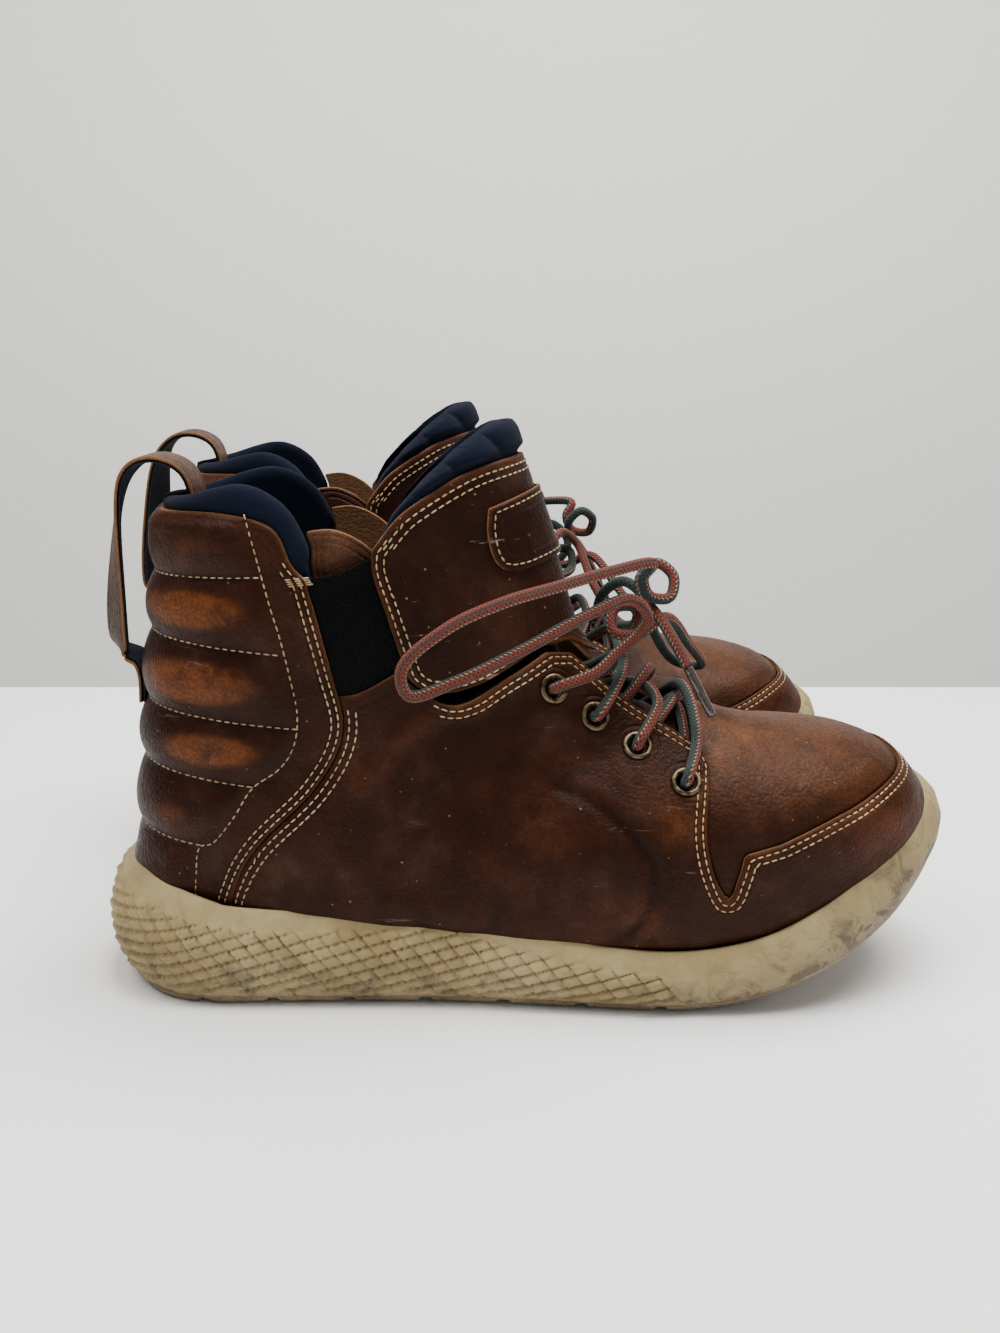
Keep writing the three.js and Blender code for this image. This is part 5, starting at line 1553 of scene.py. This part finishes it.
# ---- eyelets -----------------------------------------------------------------------------------------
# Rolled brass eyelets with a dark antique finish, four on each side of the lacing. Each is pressed
# through a punched hole and clenched over the leather of the stay.
def eyelet_tree():
    """Sets a rolled metal ring on each point, square to the leather there."""
    n, given = open_tree("eyelets", Ring_radius=4.4, Bead_radius=0.95, Flatness=0.75)
    ring = n.add("GeometryNodeCurvePrimitiveCircle")
    ring.inputs["Resolution"].default_value = 40
    n.feed(ring.inputs["Radius"], n.math("MULTIPLY", given["Ring radius"], MM))
    bead = n.add("GeometryNodeCurvePrimitiveCircle")
    bead.inputs["Resolution"].default_value = 12
    n.feed(bead.inputs["Radius"], n.math("MULTIPLY", given["Bead radius"], MM))
    sweep = n.add("GeometryNodeCurveToMesh")
    n.feed(sweep.inputs["Curve"], ring.outputs[0])
    n.feed(sweep.inputs["Profile Curve"], bead.outputs[0])
    flat = n.add("GeometryNodeTransform")
    n.feed(flat.inputs["Geometry"], sweep.outputs[0])
    scale = n.add("ShaderNodeCombineXYZ")
    n.feed(scale.inputs[0], 1.0)
    n.feed(scale.inputs[1], 1.0)
    n.feed(scale.inputs[2], given["Flatness"])
    n.feed(flat.inputs["Scale"], scale.outputs[0])
    way = n.add("GeometryNodeInputNamedAttribute", data_type="FLOAT_VECTOR")
    way.inputs["Name"].default_value = "way"
    align = n.add("FunctionNodeAlignRotationToVector", axis="Z")
    n.feed(align.inputs["Vector"], way.outputs["Attribute"])
    put = n.add("GeometryNodeInstanceOnPoints")
    n.feed(put.inputs["Points"], given["Geometry"])
    n.feed(put.inputs["Instance"], flat.outputs[0])
    n.feed(put.inputs["Rotation"], align.outputs[0])
    return close_tree(n, given, put.outputs[0])


BRASS, brass_nodes, brass_shader = new_material("antique_brass", 0.4, Metallic=1.0)
brass_noise = brass_nodes.noise(brass_nodes.place(), 420.0, 5.0)
brass_nodes.feed(brass_shader.inputs["Base Color"], brass_nodes.mix(
    brass_nodes.step(brass_noise, 0.35, 0.65), (0.055, 0.040, 0.022), (0.20, 0.15, 0.085)))
brass_nodes.feed(brass_shader.inputs["Roughness"], brass_nodes.step(brass_noise, 0.3, 0.7, 0.32, 0.52))
brass_nodes.feed(brass_shader.inputs["Normal"], brass_nodes.bump(brass_noise, 0.2, 0.0003))
EYELET_RINGS = eyelet_tree()


def surface_ways(x, z, side):
    """The direction square to the form at places of the side view."""
    x, z = np.asarray(x, float), np.asarray(z, float)
    along = side_point(x + 1, z, side) - side_point(x - 1, z, side)
    up = side_point(x, z + 1, side) - side_point(x, z - 1, side)
    ways = np.cross(along, up) * -side
    return ways / np.linalg.norm(ways, axis=1)[:, None]


def marked_mesh(name, points, ways, side):
    """Bare points of one boot that carry the direction square to the surface."""
    mesh = bpy.data.meshes.new(name)
    placed = SIDES[side](points)
    mesh.from_pydata(placed.tolist(), [], [])
    layer = mesh.attributes.new("way", "FLOAT_VECTOR", "POINT")
    layer.data.foreach_set("vector", ((SIDES[side](points + ways) - placed) / MM).astype(np.float32).ravel())
    return mesh


seats, ways = [], []
for side in (-1, 1):
    x, z = zip(*EYELETS)
    way = surface_ways(x, z, side)
    seats.append(side_point(x, z, side) + way * 0.75)
    ways.append(way)
for side in SIDES:
    eyelets = grown_by(EYELET_RINGS, f"{side}_eyelet_rings",
                       marked_mesh("eyelet_places", np.vstack(seats), np.vstack(ways), side), Material=BRASS)
    eyelets.data.shade_smooth()
    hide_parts(*[f"{side}_eyelet_{word}_{i}" for word in ("lateral", "medial") for i in range(1, 5)])
    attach(eyelets, f"{side}_boot")

# ---- stitching --------------------------------------------------------------------------------------
# Thick cream thread in short lockstitches, machine sewn: two rows along each lapped edge, one in
# each quilting channel and round the patch, and a bar tack at the top of each heel seam.
def stitch_tree():
    """Lays one small rounded stitch at each step along the seams."""
    n, given = open_tree("lockstitch", Pitch=2.9, Stitch_length=2.25, Thread=0.62)
    seam = n.add("GeometryNodeMeshToCurve")
    n.feed(seam.inputs["Mesh"], given["Geometry"])
    steps = n.add("GeometryNodeCurveToPoints", mode="LENGTH")
    n.feed(steps.inputs["Curve"], seam.outputs[0])
    n.feed(steps.inputs["Length"], n.math("MULTIPLY", given["Pitch"], MM))
    bead = n.add("GeometryNodeMeshUVSphere")
    bead.inputs["Segments"].default_value = 6
    bead.inputs["Rings"].default_value = 5
    n.feed(bead.inputs["Radius"], 0.5 * MM)
    chance = n.add("FunctionNodeRandomValue", data_type="FLOAT")
    for socket, number in zip([s for s in chance.inputs if s.enabled], (0.88, 1.08)):
        socket.default_value = number
    chance.inputs["Seed"].default_value = 5
    vary = next(s for s in chance.outputs if s.enabled)
    size = n.add("ShaderNodeCombineXYZ")
    n.feed(size.inputs[0], given["Thread"])
    n.feed(size.inputs[1], given["Thread"])
    n.feed(size.inputs[2], n.math("MULTIPLY", given["Stitch length"], vary))
    align = n.add("FunctionNodeAlignRotationToVector", axis="Z")
    n.feed(align.inputs["Vector"], steps.outputs["Tangent"])
    put = n.add("GeometryNodeInstanceOnPoints")
    n.feed(put.inputs["Points"], steps.outputs["Points"])
    n.feed(put.inputs["Instance"], bead.outputs["Mesh"])
    n.feed(put.inputs["Rotation"], align.outputs[0])
    n.feed(put.inputs["Scale"], size.outputs[0])
    return close_tree(n, given, put.outputs[0])


THREAD, thread_nodes, thread_shader = new_material("cream_thread", 0.7)
thread_place = thread_nodes.place()
thread_broad = thread_nodes.noise(thread_place, 60.0, 4.0)
thread_fine = thread_nodes.noise(thread_place, 1500.0, 3.0)
thread_shade = thread_nodes.step(thread_broad, 0.35, 0.65)
thread_colour = thread_nodes.mix(thread_shade, (0.33, 0.225, 0.105), (0.52, 0.40, 0.22))
thread_colour = thread_nodes.mix(thread_nodes.math("MULTIPLY", thread_fine, 0.3), thread_colour, (0.20, 0.12, 0.06))
thread_nodes.feed(thread_shader.inputs["Base Color"], thread_colour)
thread_nodes.feed(thread_shader.inputs["Normal"], thread_nodes.bump(thread_fine, 0.5, 0.0003))
LOCKSTITCH = stitch_tree()


def seam_rows(rim_of, outer_of, distances, where):
    """Seams at fixed distances inside a panel's rim, kept where where(points) is true."""
    rim = rim_of(FORM_POINTS)
    found = []
    for distance in distances:
        near = np.abs(rim - distance)[FORM_TRIANGLES].min(1) < 4
        near &= above_floor(FORM_POINTS)[FORM_TRIANGLES].max(1) > PANEL_FLOOR
        params, triangles = used_only(np.column_stack([FORM_PARAMS, rim]), FORM_TRIANGLES[near])
        params, _, edges = split_net(params, triangles, params[:, 2], distance, keep_outside=True)
        used, edges = np.unique(edges, return_inverse=True)
        edges = edges.reshape(-1, 2)
        params = params[used]
        base = form_point(params[:, 0], params[:, 1])
        keep = where(base)
        edges = edges[keep[edges].all(1)]
        offset = outer_of(base, np.full(len(base), distance)) + 0.12
        found.append((form_point(params[:, 0], params[:, 1], offset), edges))
    return found


def seam_line(places, outer_of, side, lift):
    """A seam along a line of the side view, on one side of the boot."""
    flat = even_steps(np.asarray(places, float), 1.2)
    base = side_point(flat[:, 0], flat[:, 1], side)
    offset = outer_of(base, np.full(len(base), 20.0)) + lift
    points = base + surface_ways(flat[:, 0], flat[:, 1], side) * offset[:, None]
    return points, np.stack([np.arange(len(points) - 1), np.arange(1, len(points))], axis=1)


def joined(seams):
    points, edges, count = [], [], 0
    for place, edge in seams:
        points.append(place)
        edges.append(edge + count)
        count += len(place)
    return np.vstack(points), np.vstack(edges)


def above_sole(points):
    return points[:, 2] > sole_top_at(points[:, 0]) + 1.0


def on_open_edge(points):
    return (line_distance(points[:, [0, 2]], OPEN_EDGE) < 7.0) & above_sole(points)


def beside_heel(points):
    return (line_distance(points[:, [0, 2]], HEEL_FRONT) < 8.5) & above_sole(points) & (points[:, 0] > 40)


def quarter_edge(points):
    return rim_distance(points, QUARTER)


boot_seams = seam_rows(quarter_edge, quarter_outer, (1.7, 4.1), on_open_edge)
boot_seams += seam_rows(quarter_edge, quarter_outer, (2.0, 4.6), lambda p: beside_heel(p) & (p[:, 2] < 108))
boot_seams += seam_rows(lambda p: rim_distance(p, HEEL), heel_outer, (1.7, 4.1), beside_heel)
for side in (-1, 1):
    boot_seams.append(seam_line(QUILT_BORDER, heel_outer, side, 0.25))
    for rear_x, rear_z, front_x, front_z in CHANNELS[1:6]:
        x, z = np.linspace(rear_x, front_x, 30), np.linspace(rear_z, front_z, 30)
        inside = x < quilt_border_x(z) - 0.5
        boot_seams.append(seam_line(np.stack([x, z], axis=1)[inside], heel_outer, side, 0.45))
    # a dense bar tack where the heel panel and the gore take the pull
    for x, z in ((77.0, 154.0), (77.4, 153.3), (77.8, 152.6), (78.2, 151.9)):
        boot_seams.append(seam_line([(x, z), (x + 6.0, z + 0.6)], heel_outer, side, 0.35))
tongue_seams = seam_rows(lambda p: rim_distance(p, CUFF), cuff_outer, (1.7, 4.1), lambda p: (
    line_distance(p[:, [0, 2]], outline_of(CUFF_REAR, CUFF_LOW)) < 6.5) & (p[:, 2] < 166))
tongue_seams += seam_rows(lambda p: rim_distance(p, CUFF), cuff_outer, (2.6, 5.2), lambda p: (
    line_distance(p[:, [0, 2]], CUFF_TOP) < 7.5) & (p[:, 2] > 164))
tongue_seams += seam_rows(lambda p: rim_distance(p, PATCH), patch_outer, (2.0,), lambda p: p[:, 0] > 0)
for word, seams in (("boot", boot_seams), ("tongue", tongue_seams)):
    points, edges = joined(seams)
    for side in SIDES:
        mesh = bpy.data.meshes.new("seams")
        mesh.from_pydata(SIDES[side](points).tolist(), [tuple(map(int, e)) for e in edges], [])
        thread = grown_by(LOCKSTITCH, f"{side}_{word}_stitching", mesh, Material=THREAD)
        thread.data.shade_smooth()
        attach(thread, f"{side}_{word}")
